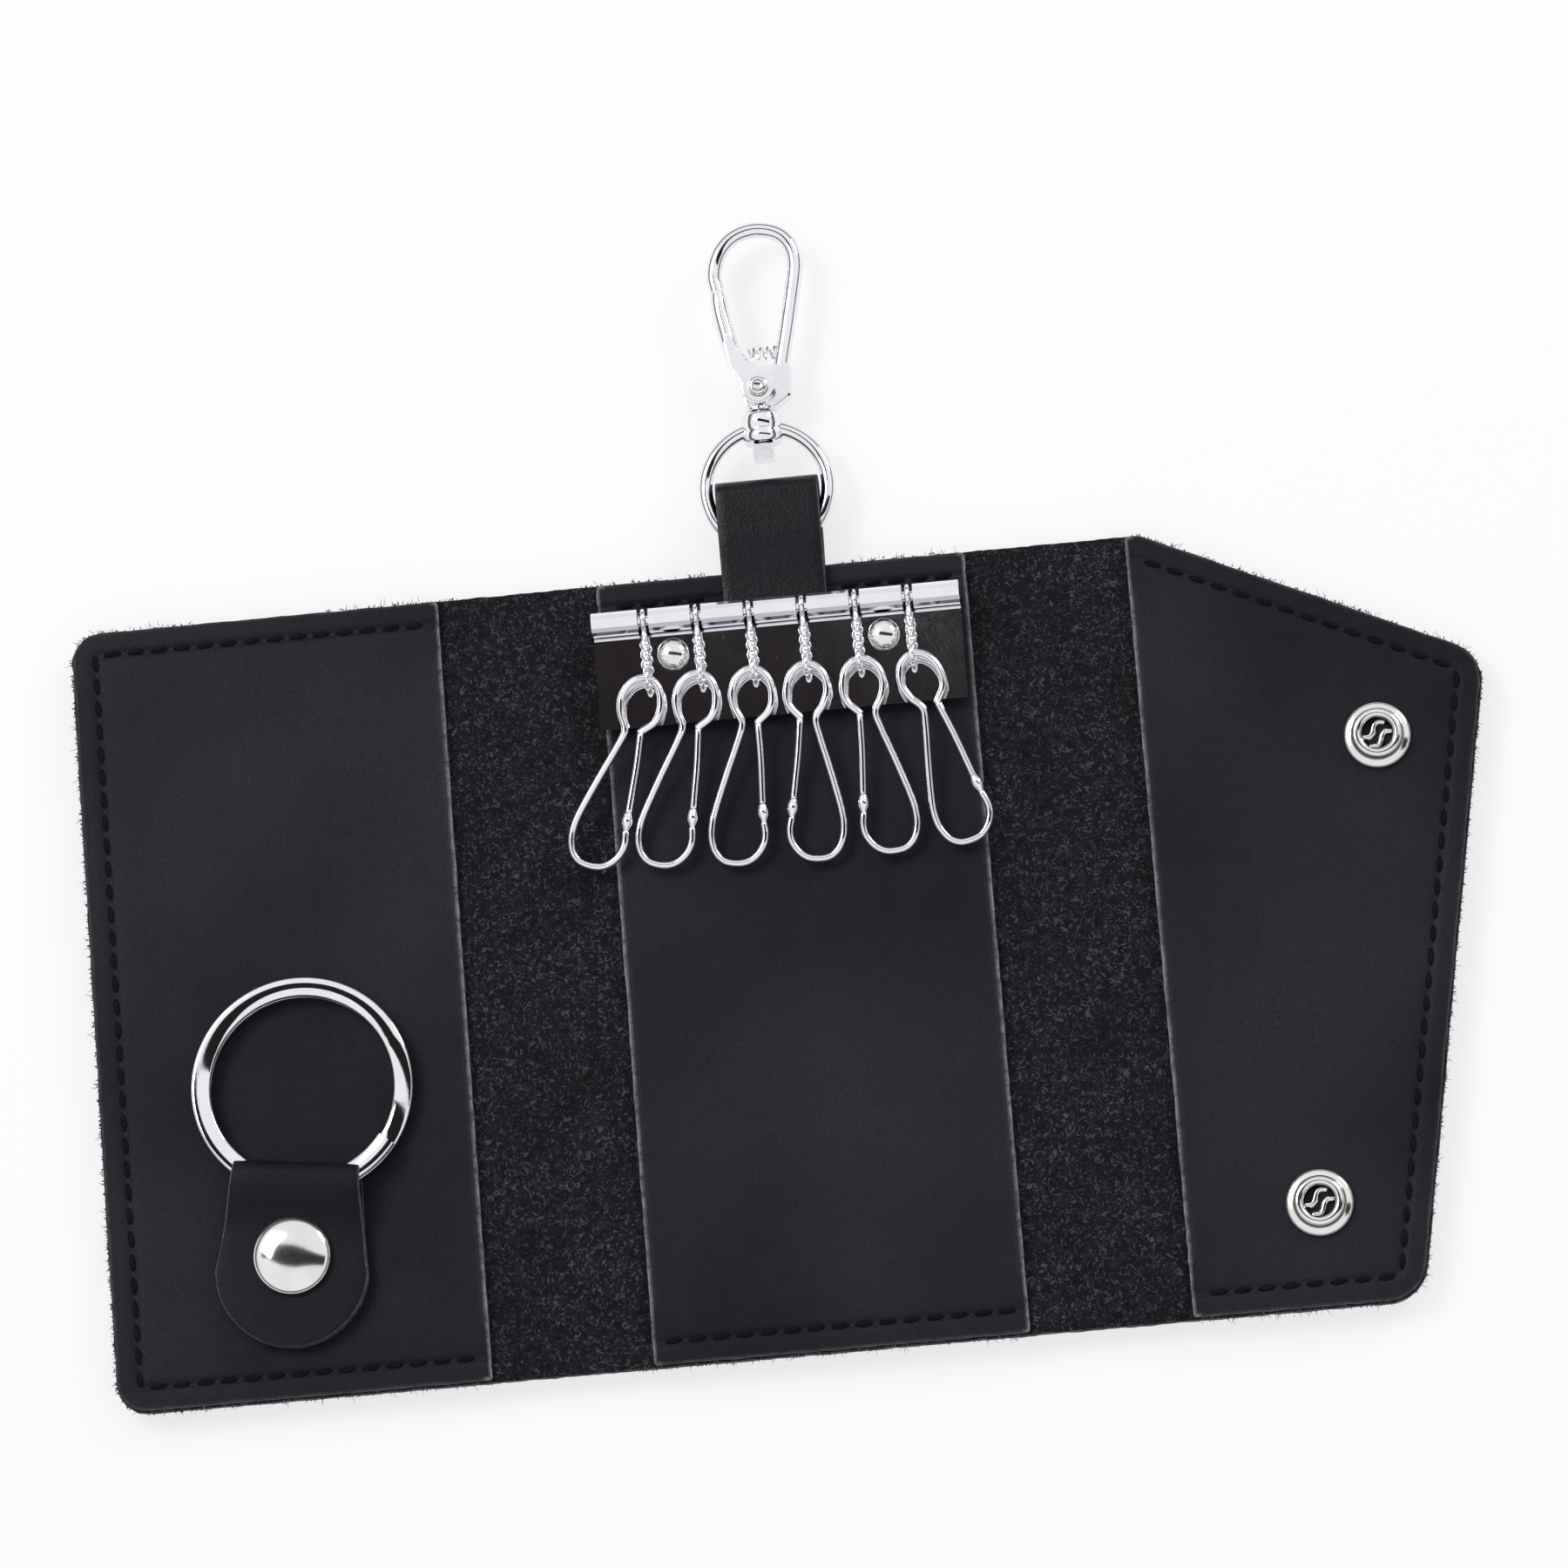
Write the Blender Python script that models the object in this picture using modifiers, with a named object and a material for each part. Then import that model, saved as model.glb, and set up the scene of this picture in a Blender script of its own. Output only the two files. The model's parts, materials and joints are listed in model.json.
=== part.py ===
# Leather key holder that folds in three: front panel, back panel and flap.
# It lies open with its inner side up. Inside are a rail with six key hooks and
# a split ring on a leather tab; a swivel clasp hangs on a strap at the top.
# Metres, +Z up, +Y toward the strap, origin under the middle of the back panel.
import math

import bmesh
import bpy
from mathutils import Matrix, Vector

# Sheets
COVER = 0.0014
LINING = 0.0008
GAP = 0.0003
CUTTER_OVERRUN = 0.002

# Case
CASE_LENGTH = 0.115
CLOSED_WIDTH = 0.0705
FRONT_REACH = 0.0596
FLAP_REACH = 0.0521
FLAP_FOOT_REACH = 0.0348
FLAP_DROP = 0.0222
FLAP_SHOULDER = 0.0042
FRONT_CORNER = 0.0045
FLAP_CORNER = 0.006
SHOULDER_CORNER = 0.003
CORNER_STEPS = 6

# Folds: rigid strips that hinge on each other at the middle of the leather
FRONT_FOLD_RADIUS = 0.0052
FLAP_FOLD_RADIUS = 0.0083
FOLD_STRIPS = 2
STRIP_SETBACK = 0.00045

# Linings end short of the folds, where the bare back of the leather shows
LINING_MARGIN = 0.0003
FRONT_BARE = 0.00555
FLAP_BARE = 0.002

# Snap fasteners
SNAP_TOP_FROM_END = 0.0331
SNAP_LOW_FROM_END = 0.015
SNAP_TOP_INSET = 0.0144
SNAP_LOW_INSET = 0.0163
SOCKET_RADIUS = 0.0049
SOCKET_HEIGHT = 0.0023
SOCKET_HOLE = 0.0021
SOCKET_DEPTH = 0.0017
SNAP_SHANK = 0.0011
STUD_RADIUS = 0.0042
STUD_FLANGE = 0.0005
STUD_NUB = 0.0017
STUD_HEIGHT = 0.0018
TURN_STEPS = 20

# Strap and its loop round the swivel ring
STRAP = 0.001
STRAP_WIDTH = 0.015
STRAP_ROOT_FROM_EDGE = 0.021
STRAP_HINGE_PAST_EDGE = 0.0005
SLIT = 0.0003
SLIT_DEPTH = 0.018
RING_PLANE = 0.0026

# Swivel ring
RING_RADIUS = 0.01
RING_WIRE = 0.00105
RING_FROM_EDGE = 0.012
FOLD_PAST_RING_CENTRE = 0.00125
BOSS_RADIUS = 0.0029
BOSS_LENGTH = 0.0044
BOSS_SINK = 0.0013
STEM_RADIUS = 0.0011
HEAD_WIDTH = 0.0029
HEAD_LENGTH = 0.0023
HEAD_WALL = 0.0008

# Clasp, measured from the gate's pivot
CLASP_REACH = 0.0253
CLASP_HALF = 0.0078
CLASP_WIRE = 0.00115
COLLAR_RADIUS = 0.0023
COLLAR_HEIGHT = 0.0006
PIVOT_ABOVE_BOSS = 0.0037
TONGUE = 0.0023
TONGUE_BOSS = 0.0026
GATE_ARM = 0.0026
GATE_BASE = 0.0025
FORK_CHEEK = 0.00075
GATE_TIP_HALF = 0.0011
GATE_TIP_GAP = 0.00035
PIN_RADIUS = 0.0008
PIN_HEAD = 0.00145
PIN_HEAD_HEIGHT = 0.0006
SPRING_WIRE = 0.0002
SPRING_RADIUS = 0.0009
SPRING_TURNS = 4
SPRING_POINTS = 9

# Hook rail and its rod
RAIL_LENGTH = 0.0533
RAIL_SHEET = 0.0005
RAIL_DEPTH = 0.0153
ROD_FROM_EDGE = 0.007
ROD_RADIUS = 0.00075
CURL_RADIUS = 0.0016
CURL_ANGLE = math.radians(292)
CURL_STEPS = 14
HOOK_COUNT = 6
HOOK_PITCH = 0.00767
SLOT_WIDTH = 0.0016
SLOT_REACH = 0.0026
RIVET_APART = 0.0306
RIVET_BELOW_ROD = 0.005
RIVET_HEAD = 0.0023
RIVET_DOME = 0.0014
RIVET_SHANK = 0.0012
RIVET_COLLAR = 0.0021

# Links between rod and hooks
LINK_WIRE = 0.0004
LINK_LENGTH = 0.0088
LINK_TOP_LOOP = 0.00145
LINK_LOW_LOOP = 0.00135
LINK_BEAD = 0.00075
LINK_WAIST = 0.00045
LINK_BEADS = 3

# Key hooks
HOOK_WIRE = 0.00055
HOOK_LENGTH = 0.0288
HOOK_HALF = 0.005
HOOK_SLOPE = math.radians(5.2)
HOOK_FANS = tuple(math.radians(a) for a in (-20.5, -15.5, -8.5, -2.5, 4.5, 14))
HOOK_FLIPS = (1, 1, 1, -1, -1, 1)
COLLAR_SWELL = 1.65

# Tab and split ring
TAB = 0.0009
TAB_PLACE = 0.0327
TAB_CAP_HEIGHT_FROM_END = 0.0202
TAB_REST_TURN = math.radians(-7)
TAB_ROUND = 0.011
TAB_ROUND_DROP = 0.002
TAB_FOLD_HALF = 0.009
TAB_FOLD_REACH = 0.0126
TAB_HINGE_REACH = 0.0075
TAB_HINGE_RADIUS = 0.0017
TAB_SLIT_DEPTH = 0.0025
CAP_RADIUS = 0.0057
CAP_HEIGHT = 0.0018
CAP_SHANK = 0.0012
CAP_STEPS = 24
SPLIT_RADIUS = 0.016
SPLIT_BAND = 0.0028
SPLIT_TURN = 0.00095
SPLIT_GAP = 0.00042
SPLIT_TURN_POINTS = 36
SPLIT_JOG = math.radians(30)
TUNNEL_SPARE = 0.00068


# Derived sizes
HALF = CASE_LENGTH / 2
MID = COVER / 2
LINING_LOW = COVER + GAP
LINING_TOP = LINING_LOW + LINING
FOLD_TURN = math.pi / (FOLD_STRIPS + 1)
FRONT_PITCH = 2 * FRONT_FOLD_RADIUS * math.tan(FOLD_TURN / 2)
FLAP_PITCH = 2 * FLAP_FOLD_RADIUS * math.tan(FOLD_TURN / 2)
OUTWARD_SHARES = [max(math.cos(FOLD_TURN * (index + 1)), 0) for index in range(FOLD_STRIPS)]
FRONT_HINGE = -(CLOSED_WIDTH / 2 - FRONT_PITCH * sum(OUTWARD_SHARES) - MID)
FLAP_HINGE = CLOSED_WIDTH / 2 - FLAP_PITCH * sum(OUTWARD_SHARES) - MID
FRONT_LAST = FRONT_HINGE - FRONT_PITCH * FOLD_STRIPS
FLAP_LAST = FLAP_HINGE + FLAP_PITCH * FOLD_STRIPS
FRONT_EDGE = FRONT_LAST - FRONT_REACH
SNAP_PLACES = (HALF - SNAP_TOP_FROM_END, SNAP_LOW_FROM_END - HALF)

STRAP_LOW = COVER + GAP
STRAP_STACK = 2 * STRAP + SLIT
STRAP_TOP = STRAP_LOW + STRAP_STACK
STRAP_MID = STRAP_LOW + STRAP_STACK / 2
STRAP_HINGE = HALF + STRAP_HINGE_PAST_EDGE
STRAP_ROOT = HALF - STRAP_ROOT_FROM_EDGE
RING_CENTRE = HALF + RING_FROM_EDGE
RING_LINE = RING_RADIUS - RING_WIRE
BOSS_START = RING_CENTRE + RING_RADIUS - 2 * RING_WIRE - BOSS_SINK
BOSS_END = BOSS_START + BOSS_LENGTH
PIVOT = BOSS_END + PIVOT_ABOVE_BOSS
FORK_SLOT = TONGUE + 2 * GAP
FORK_WIDTH = FORK_SLOT + 2 * FORK_CHEEK

PLATE_LOW = STRAP_TOP + GAP
PLATE_TOP = PLATE_LOW + RAIL_SHEET
ROD_HEIGHT = PLATE_LOW + RAIL_SHEET / 2 + CURL_RADIUS
ROD_PLACE = HALF - ROD_FROM_EDGE
RIVET_PLACE = ROD_PLACE - RIVET_BELOW_ROD
LINK_RISE = PLATE_TOP + GAP + LINK_LOW_LOOP + LINK_WIRE - ROD_HEIGHT
LINK_TILT = math.asin(LINK_RISE / LINK_LENGTH)
EYE_PLACE = ROD_PLACE - LINK_LENGTH * math.cos(LINK_TILT)
EYE_HEIGHT = ROD_HEIGHT + LINK_RISE

TAB_LOW = LINING_TOP + GAP
TAB_STACK = 2 * TAB + SLIT
TAB_TOP = TAB_LOW + TAB_STACK
TAB_X = FRONT_LAST - TAB_PLACE
TAB_Y = TAB_CAP_HEIGHT_FROM_END - HALF
SPLIT_HEIGHT = 2 * SPLIT_TURN + SPLIT_GAP
TUNNEL = SPLIT_HEIGHT + TUNNEL_SPARE
TUNNEL_RADIUS = TUNNEL / 2
FOLD_OUTER = TUNNEL_RADIUS + TAB
FOLD_HEIGHT = TAB_LOW + FOLD_OUTER
SPLIT_INNER = SPLIT_RADIUS - SPLIT_BAND
SPLIT_LINE = SPLIT_RADIUS - SPLIT_BAND / 2
SPLIT_REACH = TAB_FOLD_REACH - TAB - GAP + SPLIT_INNER
SPLIT_NEAR_HEIGHT = TAB_LOW + TAB + GAP + SPLIT_HEIGHT / 2
SPLIT_FAR_HEIGHT = LINING_TOP + GAP + SPLIT_HEIGHT / 2
SPLIT_TILT = math.asin((SPLIT_NEAR_HEIGHT - SPLIT_FAR_HEIGHT) / (2 * SPLIT_LINE))

FINISHES = {
    "outer leather": ((0.016, 0.016, 0.019), 0.55, 0),
    "lining leather": ((0.018, 0.018, 0.022), 0.48, 0),
    "strap leather": ((0.012, 0.012, 0.014), 0.5, 0),
    "chrome": ((0.78, 0.78, 0.8), 0.12, 1),
    "nickel": ((0.62, 0.6, 0.57), 0.22, 1),
}

for thing in list(bpy.data.objects):
    bpy.data.objects.remove(thing, do_unlink=True)

holder = bpy.data.collections.new("key_holder")
tools = bpy.data.collections.new("cutters")
bpy.context.scene.collection.children.link(holder)
bpy.context.scene.collection.children.link(tools)


# Materials and placing
def finish(piece, kind):
    colour, roughness, metallic = FINISHES[kind]
    look = bpy.data.materials.new(piece.name + "_finish")
    look.use_nodes = True
    shader = look.node_tree.nodes["Principled BSDF"]
    shader.inputs["Base Color"].default_value = (*colour, 1)
    shader.inputs["Roughness"].default_value = roughness
    shader.inputs["Metallic"].default_value = metallic
    look.diffuse_color = (*colour, 1)
    look.roughness = roughness
    look.metallic = metallic
    piece.material_slots[0].link = "OBJECT"
    piece.material_slots[0].material = look


def attach(piece, carrier):
    bpy.context.view_layer.update()
    piece.parent = carrier
    piece.matrix_parent_inverse = carrier.matrix_world.inverted()


def pivot(name, place, carrier=None, turn=(0, 0, 0)):
    empty = bpy.data.objects.new(name, None)
    empty.empty_display_size = COVER
    empty.location = place
    empty.rotation_euler = turn
    holder.objects.link(empty)
    if carrier:
        attach(empty, carrier)
    return empty


def part(name, data, kind, carrier, place=(0, 0, 0), turn=(0, 0, 0), riding=False):
    """Put data in the scene as the piece NAME; a riding piece is placed in its carrier's axes."""
    piece = bpy.data.objects.new(name, data)
    piece.location = place
    piece.rotation_euler = turn
    holder.objects.link(piece)
    if not data.materials:
        data.materials.append(None)
    finish(piece, kind)
    if carrier and riding:
        piece.parent = carrier
    elif carrier:
        attach(piece, carrier)
    return piece


def scratch(name, data, place=(0, 0, 0), turn=(0, 0, 0)):
    guide = bpy.data.objects.new(name, data)
    guide.location = place
    guide.rotation_euler = turn
    guide.hide_render = True
    guide.display_type = "WIRE"
    tools.objects.link(guide)
    return guide


# Outlines
def arc(centre, radius, start, end, steps):
    points = []
    for step in range(steps + 1):
        angle = start + (end - start) * step / steps
        points.append((centre[0] + radius * math.cos(angle), centre[1] + radius * math.sin(angle)))
    return points


def circle(centre, radius, steps):
    return arc(centre, radius, 0, 2 * math.pi, steps)[:-1]


def rounded(corners, radii):
    outline = []
    count = len(corners)
    for index, radius in enumerate(radii):
        here = Vector(corners[index])
        if not radius:
            outline.append(tuple(here))
            continue
        back = Vector(corners[index - 1]) - here
        ahead = Vector(corners[(index + 1) % count]) - here
        reach = min(back.length, ahead.length) / 2
        back.normalize()
        ahead.normalize()
        half_angle = back.angle(ahead) / 2
        size = min(radius, reach * math.tan(half_angle))
        centre = here + (back + ahead).normalized() * (size / math.sin(half_angle))
        first = here + back * (size / math.tan(half_angle)) - centre
        last = here + ahead * (size / math.tan(half_angle)) - centre
        sweep = first.angle_signed(last)
        for step in range(CORNER_STEPS + 1):
            spoke = first.copy()
            spoke.rotate(Matrix.Rotation(-sweep * step / CORNER_STEPS, 2))
            outline.append(tuple(centre + spoke))
    return outline


def inset(corners, margin):
    """Move each side of a counterclockwise convex outline inward by margin."""
    moved = []
    count = len(corners)
    for index in range(count):
        here = Vector(corners[index])
        before = here - Vector(corners[index - 1])
        after = Vector(corners[(index + 1) % count]) - here
        before.normalize()
        after.normalize()
        inward_before = Vector((-before.y, before.x))
        inward_after = Vector((-after.y, after.x))
        bisector = (inward_before + inward_after).normalized()
        moved.append(tuple(here + bisector * (margin / bisector.dot(inward_before))))
    return moved


# Shapes
def flat_curve(name, outlines, half_thickness):
    data = bpy.data.curves.new(name, "CURVE")
    data.dimensions = "2D"
    data.fill_mode = "BOTH"
    data.extrude = half_thickness
    for outline in outlines:
        spline = data.splines.new("POLY")
        spline.points.add(len(outline) - 1)
        for point, place in zip(spline.points, outline):
            point.co = (place[0], place[1], 0, 1)
        spline.use_cyclic_u = True
        spline.use_smooth = False
    return data


def wire_curve(name, points, radius, closed=False, swells=None, resolution=2):
    data = bpy.data.curves.new(name, "CURVE")
    data.dimensions = "3D"
    data.bevel_depth = radius
    data.bevel_resolution = resolution
    data.use_fill_caps = True
    data.twist_mode = "MINIMUM"
    spline = data.splines.new("POLY")
    spline.points.add(len(points) - 1)
    for index, place in enumerate(points):
        spline.points[index].co = (*place, 1)
        if swells:
            spline.points[index].radius = swells[index]
    spline.use_cyclic_u = closed
    return data


def baked(source, smooth=None):
    """Read an object's finished shape as a mesh of its own and take the object away."""
    bpy.context.view_layer.update()
    solid = bpy.data.meshes.new_from_object(source.evaluated_get(bpy.context.evaluated_depsgraph_get()))
    solid.name = source.name
    solid.transform(source.matrix_world)
    cage = bmesh.new()
    cage.from_mesh(solid)
    bmesh.ops.remove_doubles(cage, verts=cage.verts, dist=COVER / 1000)
    bmesh.ops.recalc_face_normals(cage, faces=cage.faces)
    cage.to_mesh(solid)
    cage.free()
    if smooth:
        solid.shade_smooth()
        solid.set_sharp_from_angle(angle=smooth)
    bpy.data.objects.remove(source, do_unlink=True)
    return solid


ROUND_SHADE = math.radians(40)
SIDE_VIEW = (math.pi / 2, 0, math.pi / 2)


def plate_mesh(name, outlines, low, top, place=(0, 0)):
    """A flat piece cut to outlines, from height low to height top."""
    data = flat_curve(name, outlines, (top - low) / 2)
    return baked(scratch(name, data, (*place, (low + top) / 2)))


def side_mesh(name, outlines, width):
    """A piece drawn from the side, in y and z, and as wide as given along x."""
    data = flat_curve(name, outlines, width / 2)
    return baked(scratch(name, data, turn=SIDE_VIEW))


def turned_mesh(name, profile, steps=TURN_STEPS):
    """Turn a profile of radii and heights, top to bottom, round the Z axis."""
    outline = bpy.data.meshes.new(name)
    places = [(radius, 0, height) for radius, height in profile]
    outline.from_pydata(places, [(i, i + 1) for i in range(len(places) - 1)], [])
    lathe = scratch(name, outline)
    screw = lathe.modifiers.new("turn", "SCREW")
    screw.steps = steps
    screw.render_steps = steps
    screw.use_merge_vertices = True
    screw.merge_threshold = COVER / 1000
    return baked(lathe, ROUND_SHADE)


def round_bar(name, radius, length, sides=TURN_STEPS):
    cage = bmesh.new()
    bmesh.ops.create_cone(
        cage, cap_ends=True, segments=sides, radius1=radius, radius2=radius, depth=length
    )
    bar = bpy.data.meshes.new(name)
    cage.to_mesh(bar)
    cage.free()
    return bar


def block(name, size):
    cage = bmesh.new()
    bmesh.ops.create_cube(cage, size=1)
    bmesh.ops.scale(cage, vec=size, verts=cage.verts)
    box = bpy.data.meshes.new(name)
    cage.to_mesh(box)
    cage.free()
    return box


def combine(name, base, others, operation="UNION", smooth=ROUND_SHADE):
    """Join meshes to a base mesh, or cut them from it, and return one mesh."""
    body = scratch(name, base)
    guides = []
    for index, other in enumerate(others):
        guide = scratch(name + "_tool_" + str(index), other)
        step = body.modifiers.new("step", "BOOLEAN")
        step.operation = operation
        step.solver = "EXACT"
        step.object = guide
        guides.append(guide)
    solid = baked(body, smooth)
    for guide in guides:
        bpy.data.objects.remove(guide, do_unlink=True)
    return solid


def moved(mesh, place=(0, 0, 0), turn=(0, 0, 0)):
    from_euler = Matrix.Rotation(turn[2], 4, "Z") @ Matrix.Rotation(turn[1], 4, "Y")
    from_euler = from_euler @ Matrix.Rotation(turn[0], 4, "X")
    mesh.transform(Matrix.Translation(place) @ from_euler)
    return mesh


# Back panel
case = pivot("case", (0, 0, 0))
rivet_xs = (-RIVET_APART / 2, RIVET_APART / 2)
rivet_holes = [circle((x, RIVET_PLACE), RIVET_SHANK + GAP, TURN_STEPS) for x in rivet_xs]
back_corners = [
    (FRONT_HINGE + STRIP_SETBACK, -HALF),
    (FLAP_HINGE - STRIP_SETBACK, -HALF),
    (FLAP_HINGE - STRIP_SETBACK, HALF),
    (FRONT_HINGE + STRIP_SETBACK, HALF),
]
back_sheet = plate_mesh("back_cover", [back_corners] + rivet_holes, 0, COVER)
part("back_cover", back_sheet, "outer leather", case)

back_lining_top = HALF - LINING_MARGIN
back_lining_corners = [
    (FRONT_HINGE + FRONT_BARE, LINING_MARGIN - HALF),
    (FLAP_HINGE - FLAP_BARE, LINING_MARGIN - HALF),
    (FLAP_HINGE - FLAP_BARE, back_lining_top),
]
strap_notch_half = STRAP_WIDTH / 2 + GAP
strap_notch_low = STRAP_ROOT - GAP
back_lining_corners += [
    (strap_notch_half, back_lining_top),
    (strap_notch_half, strap_notch_low),
    (-strap_notch_half, strap_notch_low),
    (-strap_notch_half, back_lining_top),
    (FRONT_HINGE + FRONT_BARE, back_lining_top),
]
collar_holes = [circle((x, RIVET_PLACE), RIVET_COLLAR + GAP, TURN_STEPS) for x in rivet_xs]
back_lining_sheet = plate_mesh(
    "back_lining", [back_lining_corners] + collar_holes, LINING_LOW, LINING_TOP
)
part("back_lining", back_lining_sheet, "lining leather", case)


# Folds: each strip hangs on the one before it, from an empty on its axis
def fold(prefix, first, pitch, side):
    carrier = case
    for index, letter in enumerate("abcd"[:FOLD_STRIPS]):
        near = first + side * pitch * index
        far = near + side * pitch
        axis = pivot(prefix + "_hinge_" + letter, (near, 0, MID), carrier)
        xs = sorted((near + side * STRIP_SETBACK, far - side * STRIP_SETBACK))
        corners = [(xs[0], -HALF), (xs[1], -HALF), (xs[1], HALF), (xs[0], HALF)]
        name = prefix + "_fold_" + letter
        part(name, plate_mesh(name, [corners], 0, COVER), "outer leather", axis)
        carrier = axis
    last = first + side * pitch * FOLD_STRIPS
    return pivot(prefix + "_panel_hinge", (last, 0, MID), carrier)


front = fold("front", FRONT_HINGE, FRONT_PITCH, -1)
flap = fold("flap", FLAP_HINGE, FLAP_PITCH, 1)


# Snap places on the flap, and where they meet the front panel when it is closed
def flap_edge(y):
    share = (y + HALF) / (CASE_LENGTH - FLAP_DROP)
    return FLAP_LAST + FLAP_FOOT_REACH + (FLAP_REACH - FLAP_FOOT_REACH) * share


socket_places = []
for snap_place, snap_inset in zip(SNAP_PLACES, (SNAP_TOP_INSET, SNAP_LOW_INSET)):
    socket_places.append((flap_edge(snap_place) - snap_inset, snap_place))
stud_places = []
for socket_x, socket_y in socket_places:
    closed_x = FLAP_HINGE - (socket_x - FLAP_LAST)
    stud_places.append((FRONT_LAST - (closed_x - FRONT_HINGE), socket_y))

# Front panel
front_corners = [
    (FRONT_EDGE, -HALF),
    (FRONT_LAST - STRIP_SETBACK, -HALF),
    (FRONT_LAST - STRIP_SETBACK, HALF),
    (FRONT_EDGE, HALF),
]
front_radii = (FRONT_CORNER, 0, 0, FRONT_CORNER)
stud_holes = [circle(place, SNAP_SHANK + GAP, TURN_STEPS) for place in stud_places]
front_outline = rounded(front_corners, front_radii)
front_sheet = plate_mesh("front_cover", [front_outline] + stud_holes, 0, COVER)
part("front_cover", front_sheet, "outer leather", front)

front_lining_end = FRONT_LAST - FRONT_BARE
front_lining_corners = [
    (FRONT_EDGE, -HALF),
    (front_lining_end + LINING_MARGIN, -HALF),
    (front_lining_end + LINING_MARGIN, HALF),
    (FRONT_EDGE, HALF),
]
front_lining_radii = (FRONT_CORNER - LINING_MARGIN, 0, 0, FRONT_CORNER - LINING_MARGIN)
front_lining_outline = rounded(inset(front_lining_corners, LINING_MARGIN), front_lining_radii)
cap_hole = circle((TAB_X, TAB_Y), CAP_SHANK + GAP, TURN_STEPS)
front_lining_sheet = plate_mesh(
    "front_lining", [front_lining_outline, cap_hole], LINING_LOW, LINING_TOP
)
part("front_lining", front_lining_sheet, "lining leather", front)

# Flap
flap_left = FLAP_LAST + STRIP_SETBACK
flap_corners = [
    (flap_left, -HALF),
    (FLAP_LAST + FLAP_FOOT_REACH, -HALF),
    (FLAP_LAST + FLAP_REACH, HALF - FLAP_DROP),
    (FLAP_LAST + FLAP_SHOULDER, HALF),
    (flap_left, HALF),
]
flap_radii = (0, FLAP_CORNER, FLAP_CORNER, SHOULDER_CORNER, 0)
flap_sheet = plate_mesh("flap_cover", [rounded(flap_corners, flap_radii)], 0, COVER)
part("flap_cover", flap_sheet, "outer leather", flap)

lining_left = FLAP_LAST + FLAP_BARE - LINING_MARGIN
flap_lining_corners = [(lining_left, -HALF)] + flap_corners[1:4] + [(lining_left, HALF)]
flap_lining_radii = [max(radius - LINING_MARGIN, 0) for radius in flap_radii]
flap_lining_outline = rounded(inset(flap_lining_corners, LINING_MARGIN), flap_lining_radii)
socket_holes = [circle(place, SNAP_SHANK + GAP, TURN_STEPS) for place in socket_places]
flap_lining_sheet = plate_mesh(
    "flap_lining", [flap_lining_outline] + socket_holes, LINING_LOW, LINING_TOP
)
part("flap_lining", flap_lining_sheet, "lining leather", flap)

# Snap sockets on the flap's lining, studs on the front panel's outer face
socket_low = GAP
socket_top = GAP + SOCKET_HEIGHT
SOCKET_LIP_SHARE = 0.62
SOCKET_WAIST_SHARE = 0.74
SOCKET_STEP_SHARE = 0.35
SOCKET_LIP_DROP_SHARE = 0.12
socket_profile = [
    (0, socket_top - SOCKET_DEPTH),
    (SOCKET_HOLE, socket_top - SOCKET_DEPTH),
    (SOCKET_HOLE, socket_top - SOCKET_HEIGHT * SOCKET_LIP_DROP_SHARE),
    (SOCKET_HOLE + (SOCKET_RADIUS - SOCKET_HOLE) * SOCKET_LIP_DROP_SHARE, socket_top),
    (SOCKET_RADIUS * SOCKET_LIP_SHARE, socket_top),
    (SOCKET_RADIUS * SOCKET_WAIST_SHARE, socket_top - SOCKET_HEIGHT * SOCKET_LIP_DROP_SHARE),
    (SOCKET_RADIUS * SOCKET_WAIST_SHARE, socket_low + SOCKET_HEIGHT * SOCKET_STEP_SHARE),
    (SOCKET_RADIUS, socket_low + SOCKET_HEIGHT * SOCKET_LIP_DROP_SHARE),
    (SOCKET_RADIUS, socket_low),
    (SNAP_SHANK, socket_low),
    (SNAP_SHANK, -LINING),
    (0, -LINING),
]
socket_mesh = turned_mesh("flap_socket", socket_profile)
for index, (socket_x, socket_y) in enumerate(socket_places):
    name = "flap_socket_" + str(index + 1)
    part(name, socket_mesh, "nickel", flap, (socket_x, socket_y, LINING_TOP))

STUD_NECK_SHARE = 0.8
STUD_TIP_SHARE = 0.7
nub_top = -GAP - STUD_FLANGE
nub_low = -GAP - STUD_HEIGHT
nub_height = STUD_HEIGHT - STUD_FLANGE
stud_profile = [
    (0, COVER - GAP),
    (SNAP_SHANK, COVER - GAP),
    (SNAP_SHANK, -GAP),
    (STUD_RADIUS, -GAP),
    (STUD_RADIUS, -GAP - STUD_FLANGE / 2),
    (STUD_RADIUS - STUD_FLANGE / 2, nub_top),
    (STUD_NUB * STUD_NECK_SHARE, nub_top),
    (STUD_NUB * STUD_NECK_SHARE, nub_top - nub_height / 4),
    (STUD_NUB, nub_top - nub_height / 2),
    (STUD_NUB, nub_low + nub_height / 4),
    (STUD_NUB * STUD_TIP_SHARE, nub_low),
    (0, nub_low),
]
stud_mesh = turned_mesh("front_stud", stud_profile)
for index, (stud_x, stud_y) in enumerate(stud_places):
    part("front_stud_" + str(index + 1), stud_mesh, "nickel", front, (stud_x, stud_y, 0))

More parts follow.
